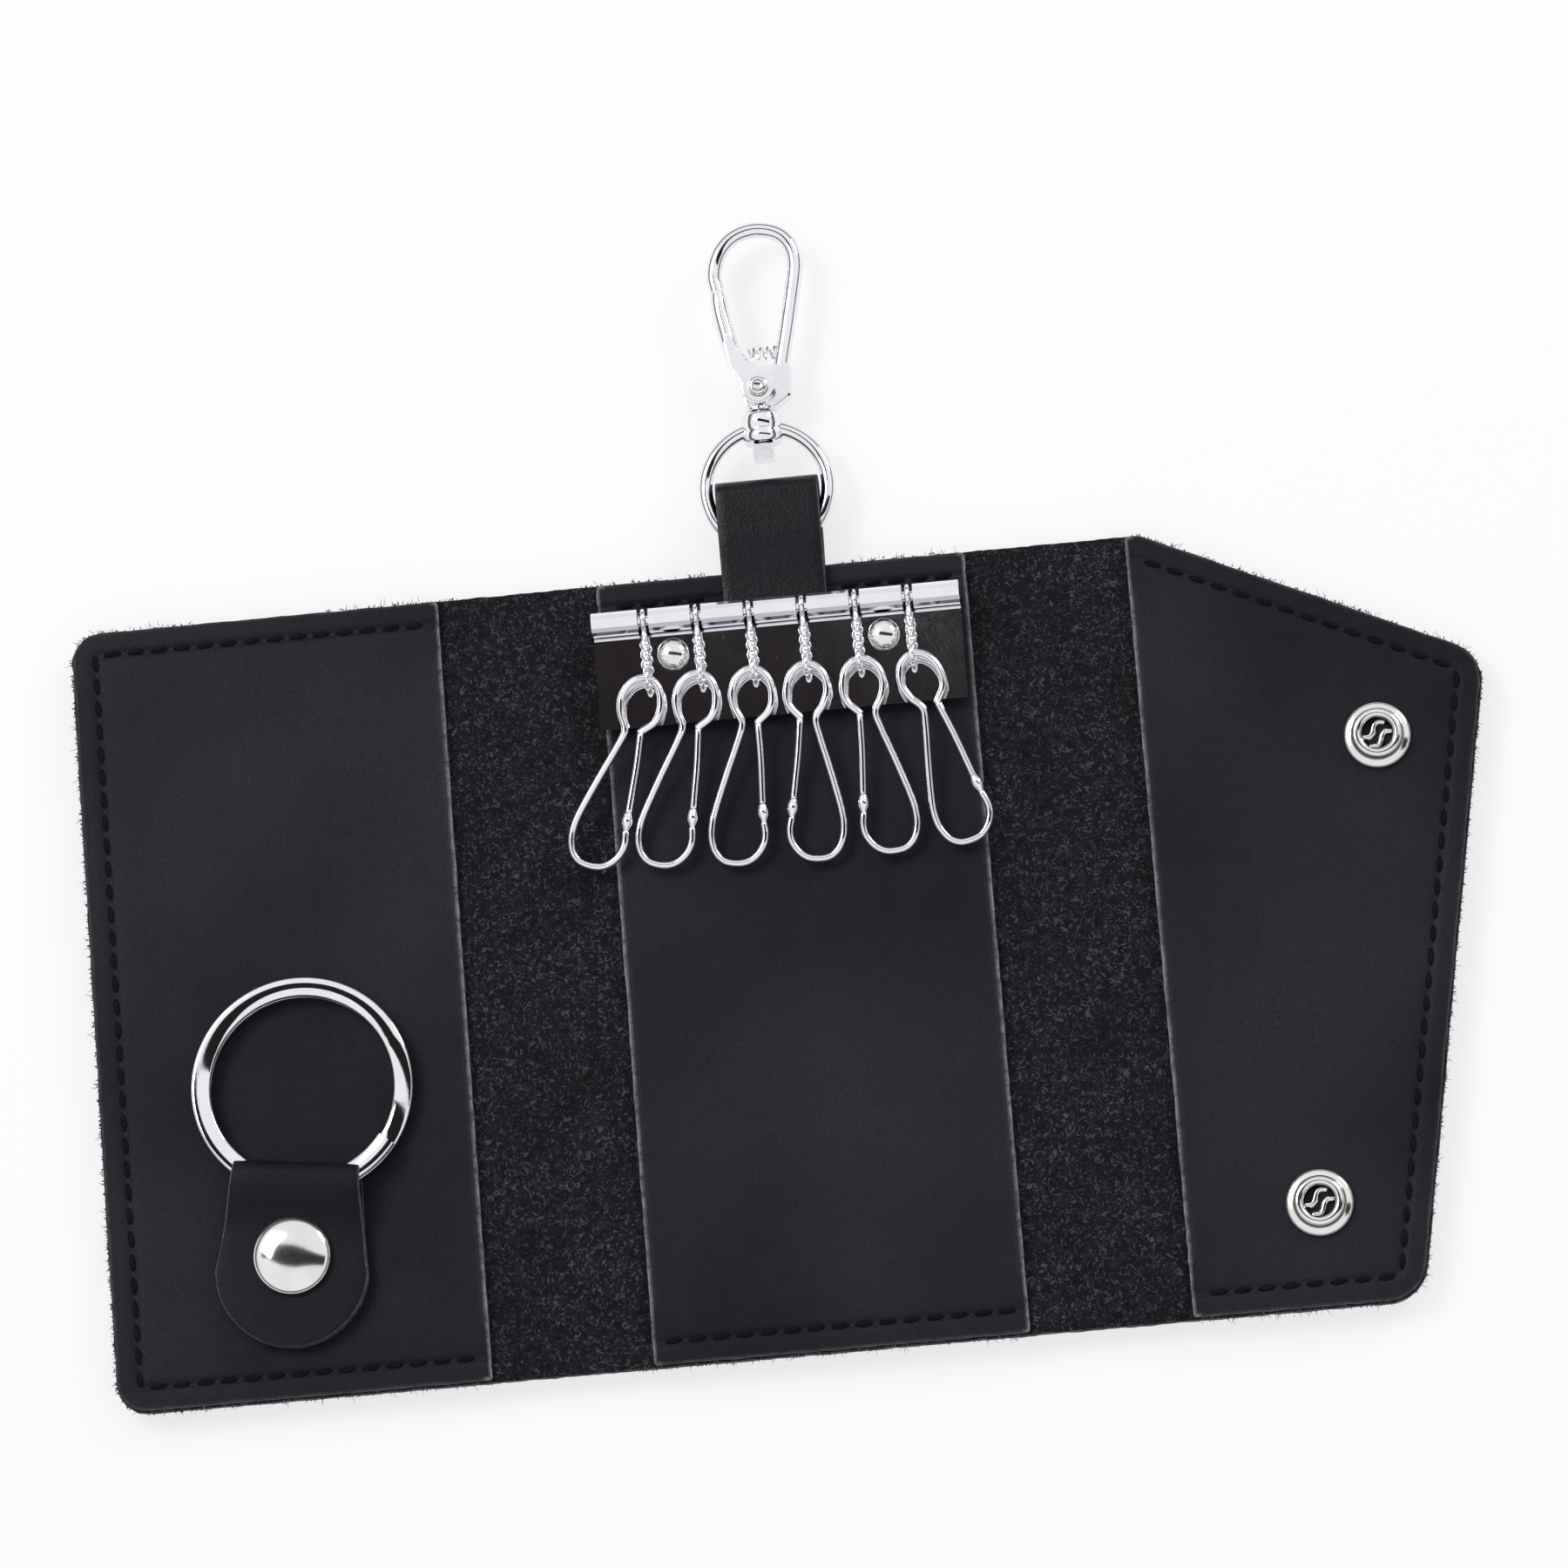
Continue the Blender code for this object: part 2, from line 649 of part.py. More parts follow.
# Strap: its two layers lie under the rail and open into a loop round the ring
hinge_half = STRAP_STACK / 2
tail_end = STRAP_HINGE - hinge_half - GAP
slit_low = STRAP_LOW + STRAP
tail_outline = [
    (STRAP_ROOT, STRAP_LOW),
    (tail_end, STRAP_LOW),
    (tail_end, slit_low),
    (tail_end - SLIT_DEPTH, slit_low),
    (tail_end - SLIT_DEPTH, slit_low + SLIT),
    (tail_end, slit_low + SLIT),
    (tail_end, STRAP_TOP),
    (STRAP_ROOT, STRAP_TOP),
]
tail_mesh = side_mesh("strap_tail", [tail_outline], STRAP_WIDTH)
part("strap_tail", tail_mesh, "strap leather", case)

strap_hinge = pivot("strap_hinge", (0, STRAP_HINGE, STRAP_MID), case)
loop_inner = RING_WIRE + GAP
loop_outer = loop_inner + STRAP
loop_tip = RING_CENTRE + FOLD_PAST_RING_CENTRE - loop_outer
cavity_start = RING_CENTRE - RING_RADIUS - GAP
shoulder_end = cavity_start + loop_inner
quarter = math.pi / 2
loop_outline = (
    arc((STRAP_HINGE, STRAP_MID), hinge_half, quarter, 3 * quarter, 2 * CORNER_STEPS)
    + [(shoulder_end, RING_PLANE - loop_outer)]
    + arc((loop_tip, RING_PLANE), loop_outer, -quarter, quarter, 2 * CORNER_STEPS)
    + [(shoulder_end, RING_PLANE + loop_outer)]
)
loop_cavity = arc(
    (shoulder_end, RING_PLANE), loop_inner, quarter, 3 * quarter, 2 * CORNER_STEPS
) + arc((loop_tip, RING_PLANE), loop_inner, -quarter, quarter, 2 * CORNER_STEPS)
loop_mesh = side_mesh("strap_loop", [loop_outline, loop_cavity], STRAP_WIDTH)
part("strap_loop", loop_mesh, "strap leather", strap_hinge)

# Swivel ring with its boss
ring_centre = pivot("ring_centre", (0, RING_CENTRE, RING_PLANE), strap_hinge)
RING_STEPS = 40
ring_points = [(x, y, 0) for x, y in circle((0, 0), RING_LINE, RING_STEPS)]
ring_tube = baked(scratch("ring", wire_curve("ring", ring_points, RING_WIRE, closed=True)))
boss_mid = BOSS_START + BOSS_LENGTH / 2 - RING_CENTRE
boss_turn = (quarter, 0, 0)
boss = moved(round_bar("boss", BOSS_RADIUS, BOSS_LENGTH), (0, boss_mid, 0), boss_turn)
boss_bore = round_bar("boss_bore", STEM_RADIUS + GAP, BOSS_LENGTH + 2 * CUTTER_OVERRUN)
boss_bore = moved(boss_bore, (0, boss_mid, 0), boss_turn)
ring_mesh = combine("swivel_ring", ring_tube, [boss])
ring_mesh = combine("swivel_ring", ring_mesh, [boss_bore], "DIFFERENCE")
part("swivel_ring", ring_mesh, "chrome", ring_centre, (0, RING_CENTRE, RING_PLANE))

# Clasp body, drawn with the gate at its left, the pivot at its origin
clasp = pivot("clasp_pivot", (0, PIVOT, RING_PLANE), ring_centre)


def clasp_point(u_share, v_share):
    return (-u_share * CLASP_HALF, v_share * CLASP_REACH)


BOW_SHARES = (
    (-0.40, 0.03),
    (-0.45, 0.14),
    (-0.60, 0.34),
    (-0.74, 0.54),
    (-0.838, 0.69),
    (-0.853, 0.755),
    (-0.822, 0.815),
    (-0.74, 0.87),
    (-0.60, 0.915),
    (-0.40, 0.943),
    (-0.16, 0.9545),
    (0.08, 0.945),
    (0.29, 0.917),
    (0.455, 0.873),
    (0.58, 0.815),
    (0.655, 0.75),
    (0.68, 0.685),
)
NOSE_END_SHARES = (0.641, 0.609)
bow_points = [clasp_point(*shares) for shares in BOW_SHARES]
nose_end = Vector(clasp_point(*NOSE_END_SHARES))
nose_way = nose_end.normalized()
bow_points.append(tuple(nose_end))
bow_curve = wire_curve("bow", [(x, y, 0) for x, y in bow_points], CLASP_WIRE, resolution=3)
bow = baked(scratch("bow", bow_curve))

FOOT_SHARES = (
    (-0.6, -0.06),
    (-0.3, -0.125),
    (0.27, -0.125),
    (0.3, -0.05),
    (-0.05, 0.128),
    (-0.64, 0.145),
)
foot_corners = [clasp_point(*shares) for shares in reversed(FOOT_SHARES)]
foot_radius = HEAD_WALL
foot_outline = rounded(foot_corners, [foot_radius] * len(foot_corners))
foot = plate_mesh("foot", [foot_outline], -TONGUE / 2, TONGUE / 2)
knuckle = round_bar("knuckle", TONGUE_BOSS, TONGUE)
collar_top = -PIVOT_ABOVE_BOSS + GAP + COLLAR_HEIGHT
collar = round_bar("collar", COLLAR_RADIUS, COLLAR_HEIGHT)
collar = moved(collar, (0, collar_top - COLLAR_HEIGHT / 2, 0), boss_turn)
stem_top = -TONGUE_BOSS / 2 - PIN_RADIUS / 2
stem_low = BOSS_START - GAP - HEAD_LENGTH + HEAD_WALL + GAP - PIVOT
stem = round_bar("stem", STEM_RADIUS, stem_top - stem_low)
stem = moved(stem, (0, (stem_top + stem_low) / 2, 0), boss_turn)
pin_bore = round_bar("pin_bore", PIN_RADIUS + GAP, TONGUE + 2 * CUTTER_OVERRUN)
clasp_mesh = combine("clasp_body", bow, [foot, knuckle, collar, stem])
clasp_mesh = combine("clasp_body", clasp_mesh, [pin_bore], "DIFFERENCE")
part("clasp_body", clasp_mesh, "chrome", clasp, (0, PIVOT, RING_PLANE))

head = block("head", (HEAD_WIDTH, HEAD_LENGTH, HEAD_WIDTH))
head_bore_depth = HEAD_LENGTH - HEAD_WALL
head_bore = round_bar("head_bore", STEM_RADIUS + GAP, head_bore_depth + CUTTER_OVERRUN)
head_bore_mid = HEAD_LENGTH / 2 - head_bore_depth + (head_bore_depth + CUTTER_OVERRUN) / 2
head_bore = moved(head_bore, (0, head_bore_mid, 0), boss_turn)
head_mesh = combine("swivel_head", head, [head_bore], "DIFFERENCE")
head_y = BOSS_START - GAP - HEAD_LENGTH / 2
part("swivel_head", head_mesh, "chrome", clasp, (0, head_y, RING_PLANE))

# Gate: a fork over the clasp's foot and an arm up to the nose
tip_radius = nose_end.length - GATE_TIP_GAP
tip_centre = nose_way * tip_radius
tip_side = Vector((nose_way.y, -nose_way.x)) * GATE_TIP_HALF
GATE_OUTER_SHARES = ((0.50, 0.125), (0.60, 0.29), (0.66, 0.345), (0.80, 0.53))
GATE_INNER_SHARES = ((0.41, 0.36), (0.35, 0.245), (0.20, 0.165), (-0.02, 0.125))
outer_points = [clasp_point(*shares) for shares in GATE_OUTER_SHARES]
inner_points = [clasp_point(*shares) for shares in GATE_INNER_SHARES]
outer_tip = tuple(tip_centre - tip_side)
inner_tip = tuple(tip_centre + tip_side)
base_low = arc((0, 0), GATE_BASE, math.radians(160), math.radians(430), 2 * TURN_STEPS // 3)
gate_outline = base_low + list(reversed(inner_points)) + [inner_tip, outer_tip]
gate_outline = gate_outline + list(reversed(outer_points))
FORK_END_SHARE = 0.145
CHEEK_END_SHARE = 0.3
fork_end = CLASP_REACH * FORK_END_SHARE
cheek_end = CLASP_REACH * CHEEK_END_SHARE
gate_plate = plate_mesh("clasp_gate", [gate_outline], -FORK_WIDTH / 2, FORK_WIDTH / 2)
fork_slot = block("fork_slot", (4 * CLASP_HALF, fork_end + CLASP_REACH, FORK_SLOT))
fork_slot = moved(fork_slot, (0, (fork_end - CLASP_REACH) / 2, 0))
arm_cuts = []
for side in (-1, 1):
    arm_cut = block("arm_cut", (4 * CLASP_HALF, CLASP_REACH, FORK_WIDTH))
    arm_cut_height = side * (GATE_ARM + FORK_WIDTH) / 2
    arm_cuts.append(moved(arm_cut, (0, cheek_end + CLASP_REACH / 2, arm_cut_height)))
gate_mesh = combine("clasp_gate", gate_plate, [fork_slot] + arm_cuts, "DIFFERENCE")
gate_bore = round_bar("gate_bore", PIN_RADIUS + GAP, 2 * FORK_WIDTH)
gate_mesh = combine("clasp_gate", gate_mesh, [gate_bore], "DIFFERENCE")
gate_axis = pivot("gate_axis", (0, PIVOT, RING_PLANE), clasp)
part("clasp_gate", gate_mesh, "chrome", gate_axis, (0, PIVOT, RING_PLANE))

# Pin through the fork and the foot, with a head on each side
pin_top = FORK_WIDTH / 2 + GAP
pin_profile = [
    (0, pin_top + PIN_HEAD_HEIGHT),
    (PIN_HEAD - PIN_HEAD_HEIGHT / 2, pin_top + PIN_HEAD_HEIGHT),
    (PIN_HEAD, pin_top + PIN_HEAD_HEIGHT / 2),
    (PIN_HEAD, pin_top),
    (PIN_RADIUS, pin_top),
    (PIN_RADIUS, -pin_top),
    (PIN_HEAD, -pin_top),
    (PIN_HEAD, -pin_top - PIN_HEAD_HEIGHT / 2),
    (PIN_HEAD - PIN_HEAD_HEIGHT / 2, -pin_top - PIN_HEAD_HEIGHT),
    (0, -pin_top - PIN_HEAD_HEIGHT),
]
part("gate_pin", turned_mesh("gate_pin", pin_profile), "chrome", clasp, (0, PIVOT, RING_PLANE))

# Spring between the clasp's leg and the gate
SPRING_LEG_SHARES = (-0.36, 0.215)
SPRING_GATE_SHARES = (0.15, 0.215)
spring_from = Vector((*clasp_point(*SPRING_LEG_SHARES), 0))
spring_to = Vector((*clasp_point(*SPRING_GATE_SHARES), 0))
spring_way = (spring_to - spring_from).normalized()
spring_side = Vector((spring_way.y, -spring_way.x, 0))
spring_up = Vector((0, 0, 1))
spring_points = []
for step in range(SPRING_TURNS * SPRING_POINTS + 1):
    angle = 2 * math.pi * step / SPRING_POINTS
    centre = spring_from.lerp(spring_to, step / (SPRING_TURNS * SPRING_POINTS))
    spoke = spring_side * math.cos(angle) + spring_up * math.sin(angle)
    spring_points.append(tuple(centre + spoke * SPRING_RADIUS))
spring_curve = wire_curve("gate_spring", spring_points, SPRING_WIRE, resolution=1)
part("gate_spring", spring_curve, "chrome", clasp, (0, PIVOT, RING_PLANE))


def least_self_gap(points, wire_radius, skip):
    least = None
    for first in range(len(points)):
        for second in range(first + skip, len(points)):
            apart = (Vector(points[first]) - Vector(points[second])).length - 2 * wire_radius
            if least is None or apart < least:
                least = apart
    return least


spring_gap = least_self_gap(spring_points, SPRING_WIRE, SPRING_POINTS // 2)
print("gate_spring least self gap", round(spring_gap, 6))

# Hook rail: a plate that curls round the rod, cut by one slot for each link
curl_centre = (ROD_PLACE, ROD_HEIGHT)
plate_mid = PLATE_LOW + RAIL_SHEET / 2
rail_line = [(ROD_PLACE - RAIL_DEPTH, plate_mid)]
rail_line += arc(curl_centre, CURL_RADIUS, -quarter, CURL_ANGLE - quarter, CURL_STEPS)
rail_curve = bpy.data.curves.new("hook_rail", "CURVE")
rail_curve.dimensions = "3D"
rail_curve.extrude = RAIL_LENGTH / 2
rail_spline = rail_curve.splines.new("POLY")
rail_spline.points.add(len(rail_line) - 1)
for point, place in zip(rail_spline.points, rail_line):
    point.co = (place[0], place[1], 0, 1)
rail_sheet = scratch("hook_rail", rail_curve, turn=SIDE_VIEW)
rail_body = scratch("hook_rail_body", baked(rail_sheet))
rail_wall = rail_body.modifiers.new("wall", "SOLIDIFY")
rail_wall.thickness = RAIL_SHEET
rail_wall.offset = 0
rail_mesh = baked(rail_body)
hook_xs = [HOOK_PITCH * (index - (HOOK_COUNT - 1) / 2) for index in range(HOOK_COUNT)]
rail_cuts = []
for hook_x in hook_xs:
    slot = round_bar("slot", SLOT_REACH, SLOT_WIDTH)
    rail_cuts.append(moved(slot, (hook_x, ROD_PLACE, ROD_HEIGHT), (0, quarter, 0)))
for rivet_x in rivet_xs:
    hole = round_bar("rivet_hole", RIVET_SHANK + GAP, 2 * CUTTER_OVERRUN)
    rail_cuts.append(moved(hole, (rivet_x, RIVET_PLACE, plate_mid)))
rail_mesh = combine("hook_rail", rail_mesh, rail_cuts, "DIFFERENCE")
part("hook_rail", rail_mesh, "chrome", case)

rod = round_bar("rail_rod", ROD_RADIUS, RAIL_LENGTH)
rod.shade_smooth()
rod.set_sharp_from_angle(angle=ROUND_SHADE)
part("rail_rod", rod, "chrome", case, (0, ROD_PLACE, ROD_HEIGHT), (0, quarter, 0))

# Rivets hold the plate on the leather; a collar stands between plate and leather
rivet_low = COVER - GAP
RIVET_DOME_SHARES = ((0.45, 0.93), (0.78, 0.66), (0.96, 0.3), (1, 0))
head_low = PLATE_TOP + GAP
rivet_profile = [(0, head_low + RIVET_DOME)]
for out, up in RIVET_DOME_SHARES:
    rivet_profile.append((RIVET_HEAD * out, head_low + RIVET_DOME * up))
rivet_profile += [
    (RIVET_SHANK, head_low),
    (RIVET_SHANK, PLATE_LOW - GAP),
    (RIVET_COLLAR, PLATE_LOW - GAP),
    (RIVET_COLLAR, COVER + GAP),
    (RIVET_SHANK, COVER + GAP),
    (RIVET_SHANK, GAP),
    (0, GAP),
]
rivet_mesh = turned_mesh("rail_rivet", rivet_profile)
for index, rivet_x in enumerate(rivet_xs):
    part("rail_rivet_" + str(index + 1), rivet_mesh, "nickel", case, (rivet_x, RIVET_PLACE, 0))

# Links: a loop round the rod, a beaded stem and a loop that the hook hangs in
LOOP_STEPS = 14


def loop_ring(name, radius, y):
    points = [(0, y + a, b) for a, b in circle((0, 0), radius, LOOP_STEPS)]
    return baked(scratch(name, wire_curve(name, points, LINK_WIRE, closed=True, resolution=1)))


stem_from = -LINK_TOP_LOOP
stem_to = -LINK_LENGTH + LINK_LOW_LOOP
bead_start = -SLOT_REACH - GAP
bead_run = (bead_start - stem_to) / LINK_BEADS
stem_points = [(0, stem_from, 0), (0, bead_start, 0)]
stem_swells = [LINK_WAIST / LINK_BEAD, LINK_WAIST / LINK_BEAD]
for bead in range(LINK_BEADS):
    for share, swell in ((0.25, 1), (0.75, 1), (1, LINK_WAIST / LINK_BEAD)):
        stem_points.append((0, bead_start - bead_run * (bead + share), 0))
        stem_swells.append(swell)
link_stem_curve = wire_curve("link_stem", stem_points, LINK_BEAD, swells=stem_swells)
link_stem = baked(scratch("link_stem", link_stem_curve))
link_top = loop_ring("link_top", LINK_TOP_LOOP, 0)
link_low = loop_ring("link_low", LINK_LOW_LOOP, -LINK_LENGTH)
link_mesh = combine("hook_link", link_stem, [link_top, link_low])

# Hook: drawn in its own plane from its eye, the latch leg at its right
EYE_SHARES = (
    (0.24, 0.268),
    (0.56, 0.20),
    (0.60, 0.125),
    (0.48, 0.055),
    (0.24, 0.01),
    (0, 0),
    (-0.24, 0.01),
    (-0.48, 0.055),
    (-0.58, 0.13),
    (-0.46, 0.205),
    (-0.22, 0.275),
    (-0.30, 0.36),
    (-0.56, 0.53),
    (-0.80, 0.70),
    (-0.89, 0.79),
    (-0.87, 0.87),
    (-0.72, 0.935),
    (-0.47, 0.972),
    (-0.15, 0.981),
    (0.17, 0.972),
    (0.44, 0.938),
    (0.62, 0.885),
    (0.66, 0.83),
    (0.60, 0.775),
)
COLLAR_SHARES = ((0.585, 0.755, 1), (0.58, 0.745, 0), (0.53, 0.69, 0))
LATCH_PIVOT_SHARES = (0.25, 0.285)
LATCH_FOOT_SHARES = (0.525, 0.678)


def hook_point(u_share, v_share, flip):
    return (flip * u_share * HOOK_HALF, -v_share * HOOK_LENGTH, 0)


def hook_data(flip):
    points = [hook_point(u, v, flip) for u, v in EYE_SHARES]
    swells = [1] * len(points)
    for u, v, plain in COLLAR_SHARES:
        points.append(hook_point(u, v, flip))
        swells.append(1 if plain else COLLAR_SWELL)
    return wire_curve("key_hook", points, HOOK_WIRE, swells=swells)


def latch_data(flip):
    start = Vector(hook_point(*LATCH_PIVOT_SHARES, flip))
    end = Vector(hook_point(*LATCH_FOOT_SHARES, flip))
    way = (end - start).normalized()
    return wire_curve("hook_latch", [(0, 0, 0), tuple(end - start - way * GAP)], HOOK_WIRE)


hook_shapes = {flip: hook_data(flip) for flip in set(HOOK_FLIPS)}
latch_shapes = {flip: latch_data(flip) for flip in set(HOOK_FLIPS)}
for index, hook_x in enumerate(hook_xs):
    number = str(index + 1)
    flip = HOOK_FLIPS[index]
    swing = pivot("link_pivot_" + number, (hook_x, ROD_PLACE, ROD_HEIGHT), case)
    link_turn = (-LINK_TILT, 0, 0)
    part("hook_link_" + number, link_mesh, "chrome", swing, turn=link_turn, riding=True)
    eye = pivot("hook_pivot_" + number, (hook_x, EYE_PLACE, EYE_HEIGHT), swing)
    plane = pivot("hook_plane_" + number, (hook_x, EYE_PLACE, EYE_HEIGHT), eye,
                  (HOOK_SLOPE, 0, HOOK_FANS[index]))
    part("key_hook_" + number, hook_shapes[flip], "chrome", plane, riding=True)
    latch_place = hook_point(*LATCH_PIVOT_SHARES, flip)
    part("hook_latch_" + number, latch_shapes[flip], "chrome", plane, latch_place, riding=True)

# Tab: held by a cap on the front panel's lining, its other end looped round the ring
tab_axis = pivot("tab_axis", (TAB_X, TAB_Y, 0), front, (0, 0, TAB_REST_TURN))
cap_low = TAB_TOP + GAP
CAP_DOME_SHARES = ((0.35, 0.97), (0.62, 0.84), (0.85, 0.58), (0.98, 0.25), (1, 0.12), (0.96, 0))
cap_profile = [(0, cap_low + CAP_HEIGHT)]
for out, up in CAP_DOME_SHARES:
    cap_profile.append((CAP_RADIUS * out, cap_low + CAP_HEIGHT * up))
cap_profile += [(CAP_SHANK, cap_low), (CAP_SHANK, COVER + GAP), (0, COVER + GAP)]
part("tab_cap", turned_mesh("tab_cap", cap_profile, CAP_STEPS), "nickel", front, (TAB_X, TAB_Y, 0))

base_reach = TAB_HINGE_REACH - TAB_HINGE_RADIUS - GAP


def tab_half_at(reach):
    share = (reach + TAB_ROUND_DROP) / (TAB_FOLD_REACH + TAB_ROUND_DROP)
    return TAB_ROUND + (TAB_FOLD_HALF - TAB_ROUND) * share


def tab_outline(reach, shrink):
    round_part = arc((0, -TAB_ROUND_DROP), TAB_ROUND - shrink, math.pi, 2 * math.pi, TURN_STEPS)
    half = tab_half_at(reach) - shrink
    return round_part + [(half, reach - shrink), (-half, reach - shrink)]


base_holes = [circle((0, 0), CAP_SHANK + GAP, TURN_STEPS)]
base_mesh = plate_mesh("tab_base", [tab_outline(base_reach, 0)] + base_holes, TAB_LOW, TAB_TOP)
slit_outlines = [tab_outline(base_reach, -CUTTER_OVERRUN), tab_outline(base_reach, TAB_SLIT_DEPTH)]
slit_cut = plate_mesh("tab_slit", slit_outlines, TAB_LOW + TAB, TAB_LOW + TAB + SLIT)
base_mesh = combine("tab_base", base_mesh, [slit_cut], "DIFFERENCE", smooth=None)
part("tab_base", base_mesh, "lining leather", tab_axis, riding=True)

tab_hinge_height = TAB_LOW + TAB_HINGE_RADIUS
tab_hinge = pivot("tab_hinge", (0, 0, 0))
tab_hinge.parent = tab_axis
tab_hinge.location = (0, TAB_HINGE_REACH, tab_hinge_height)
fold_mid = TAB_FOLD_REACH - FOLD_OUTER
hump_top = TAB_LOW + 2 * FOLD_OUTER
cavity_near = SPLIT_REACH - SPLIT_RADIUS - GAP
HUMP_SHARES = ((0.22, 0.68), (0.48, 1))
hinge_top = tab_hinge_height + TAB_HINGE_RADIUS
hump = []
for along, up in HUMP_SHARES:
    hump_y = TAB_HINGE_REACH + (fold_mid - TAB_HINGE_REACH) * along
    hump.append((hump_y, hinge_top + (hump_top - hinge_top) * up))
tab_side = (
    arc((TAB_HINGE_REACH, tab_hinge_height), TAB_HINGE_RADIUS, quarter, 3 * quarter, CORNER_STEPS * 2)
    + arc((fold_mid, FOLD_HEIGHT), FOLD_OUTER, -quarter, quarter, CORNER_STEPS * 2)
    + list(reversed(hump))
)
tab_cavity = (
    [(cavity_near, FOLD_HEIGHT + TUNNEL_RADIUS - GAP), (cavity_near, TAB_LOW + TAB)]
    + arc((fold_mid, FOLD_HEIGHT), TUNNEL_RADIUS, -quarter, quarter, CORNER_STEPS * 2)
    + [(cavity_near + GAP, FOLD_HEIGHT + TUNNEL_RADIUS)]
)
tab_loop_mesh = side_mesh("tab_loop", [tab_side, tab_cavity], 4 * TAB_ROUND)
loop_low_half = tab_half_at(base_reach)
loop_window_corners = [
    (-loop_low_half, base_reach),
    (loop_low_half, base_reach),
    (TAB_FOLD_HALF, TAB_FOLD_REACH + GAP),
    (-TAB_FOLD_HALF, TAB_FOLD_REACH + GAP),
]
loop_window = plate_mesh("tab_window", [loop_window_corners], 0, 2 * hump_top)
tab_loop_mesh = combine("tab_loop", tab_loop_mesh, [loop_window], "INTERSECT")
relief_rings = [
    circle((0, SPLIT_REACH), SPLIT_RADIUS + GAP, 3 * TURN_STEPS),
    circle((0, SPLIT_REACH), SPLIT_INNER - GAP, 3 * TURN_STEPS),
]
relief_low = TAB_LOW + TAB
relief = plate_mesh("ring_relief", relief_rings, relief_low, relief_low + TUNNEL)
tab_loop_mesh = combine("tab_loop", tab_loop_mesh, [relief], "DIFFERENCE")
tab_loop_mesh = moved(tab_loop_mesh, (0, -TAB_HINGE_REACH, -tab_hinge_height))
part("tab_loop", tab_loop_mesh, "lining leather", tab_hinge, riding=True)

# Split ring: two turns of flat wire that change layer over a short jog
layer_step = (SPLIT_TURN + SPLIT_GAP) / 2
split_points = []
first_angle = SPLIT_JOG
last_angle = 4 * math.pi - SPLIT_JOG
split_count = round((last_angle - first_angle) / (2 * math.pi) * SPLIT_TURN_POINTS)
for step in range(split_count + 1):
    angle = first_angle + (last_angle - first_angle) * step / split_count
    climb = min(max((angle - 2 * math.pi + SPLIT_JOG) / (2 * SPLIT_JOG), 0), 1)
    height = -layer_step + 2 * layer_step * climb
    split_points.append((SPLIT_LINE * math.cos(angle), SPLIT_LINE * math.sin(angle), height))
band_half = SPLIT_BAND / 2
turn_half = SPLIT_TURN / 2
band_round = SPLIT_TURN / 4
band_corners = [
    (-band_half, -turn_half), (band_half, -turn_half), (band_half, turn_half), (-band_half, turn_half)
]
band_outline = []
for corner_x, corner_y in band_corners:
    sign_x = math.copysign(1, corner_x)
    sign_y = math.copysign(1, corner_y)
    beside = (corner_x - sign_x * band_round, corner_y)
    above = (corner_x, corner_y - sign_y * band_round)
    band_outline += [above, beside] if sign_x * sign_y > 0 else [beside, above]
band_data = bpy.data.curves.new("band", "CURVE")
band_data.dimensions = "2D"
band_spline = band_data.splines.new("POLY")
band_spline.points.add(len(band_outline) - 1)
for point, place in zip(band_spline.points, band_outline):
    point.co = (place[0], place[1], 0, 1)
band_spline.use_cyclic_u = True
band_guide = scratch("band", band_data)
split_data = wire_curve("split_ring", split_points, 0)
split_data.bevel_mode = "OBJECT"
split_data.bevel_object = band_guide
split_data.twist_mode = "Z_UP"
split_mesh = baked(scratch("split_ring", split_data), ROUND_SHADE)
bpy.data.objects.remove(band_guide, do_unlink=True)
split_centre = pivot("split_centre", (0, 0, 0))
split_centre.parent = tab_hinge
split_mid_height = (SPLIT_NEAR_HEIGHT + SPLIT_FAR_HEIGHT) / 2
split_local = (0, SPLIT_REACH - TAB_HINGE_REACH, split_mid_height - tab_hinge_height)
split_centre.location = split_local
split_centre.rotation_euler = (-SPLIT_TILT, 0, 0)
part("split_ring", split_mesh, "chrome", split_centre, riding=True)
split_layer_gap = 2 * layer_step - SPLIT_TURN
print("split_ring least self gap", round(split_layer_gap, 6))
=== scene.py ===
import json
import math

import bmesh
import bpy
import numpy as np
from mathutils import Matrix, Vector, noise


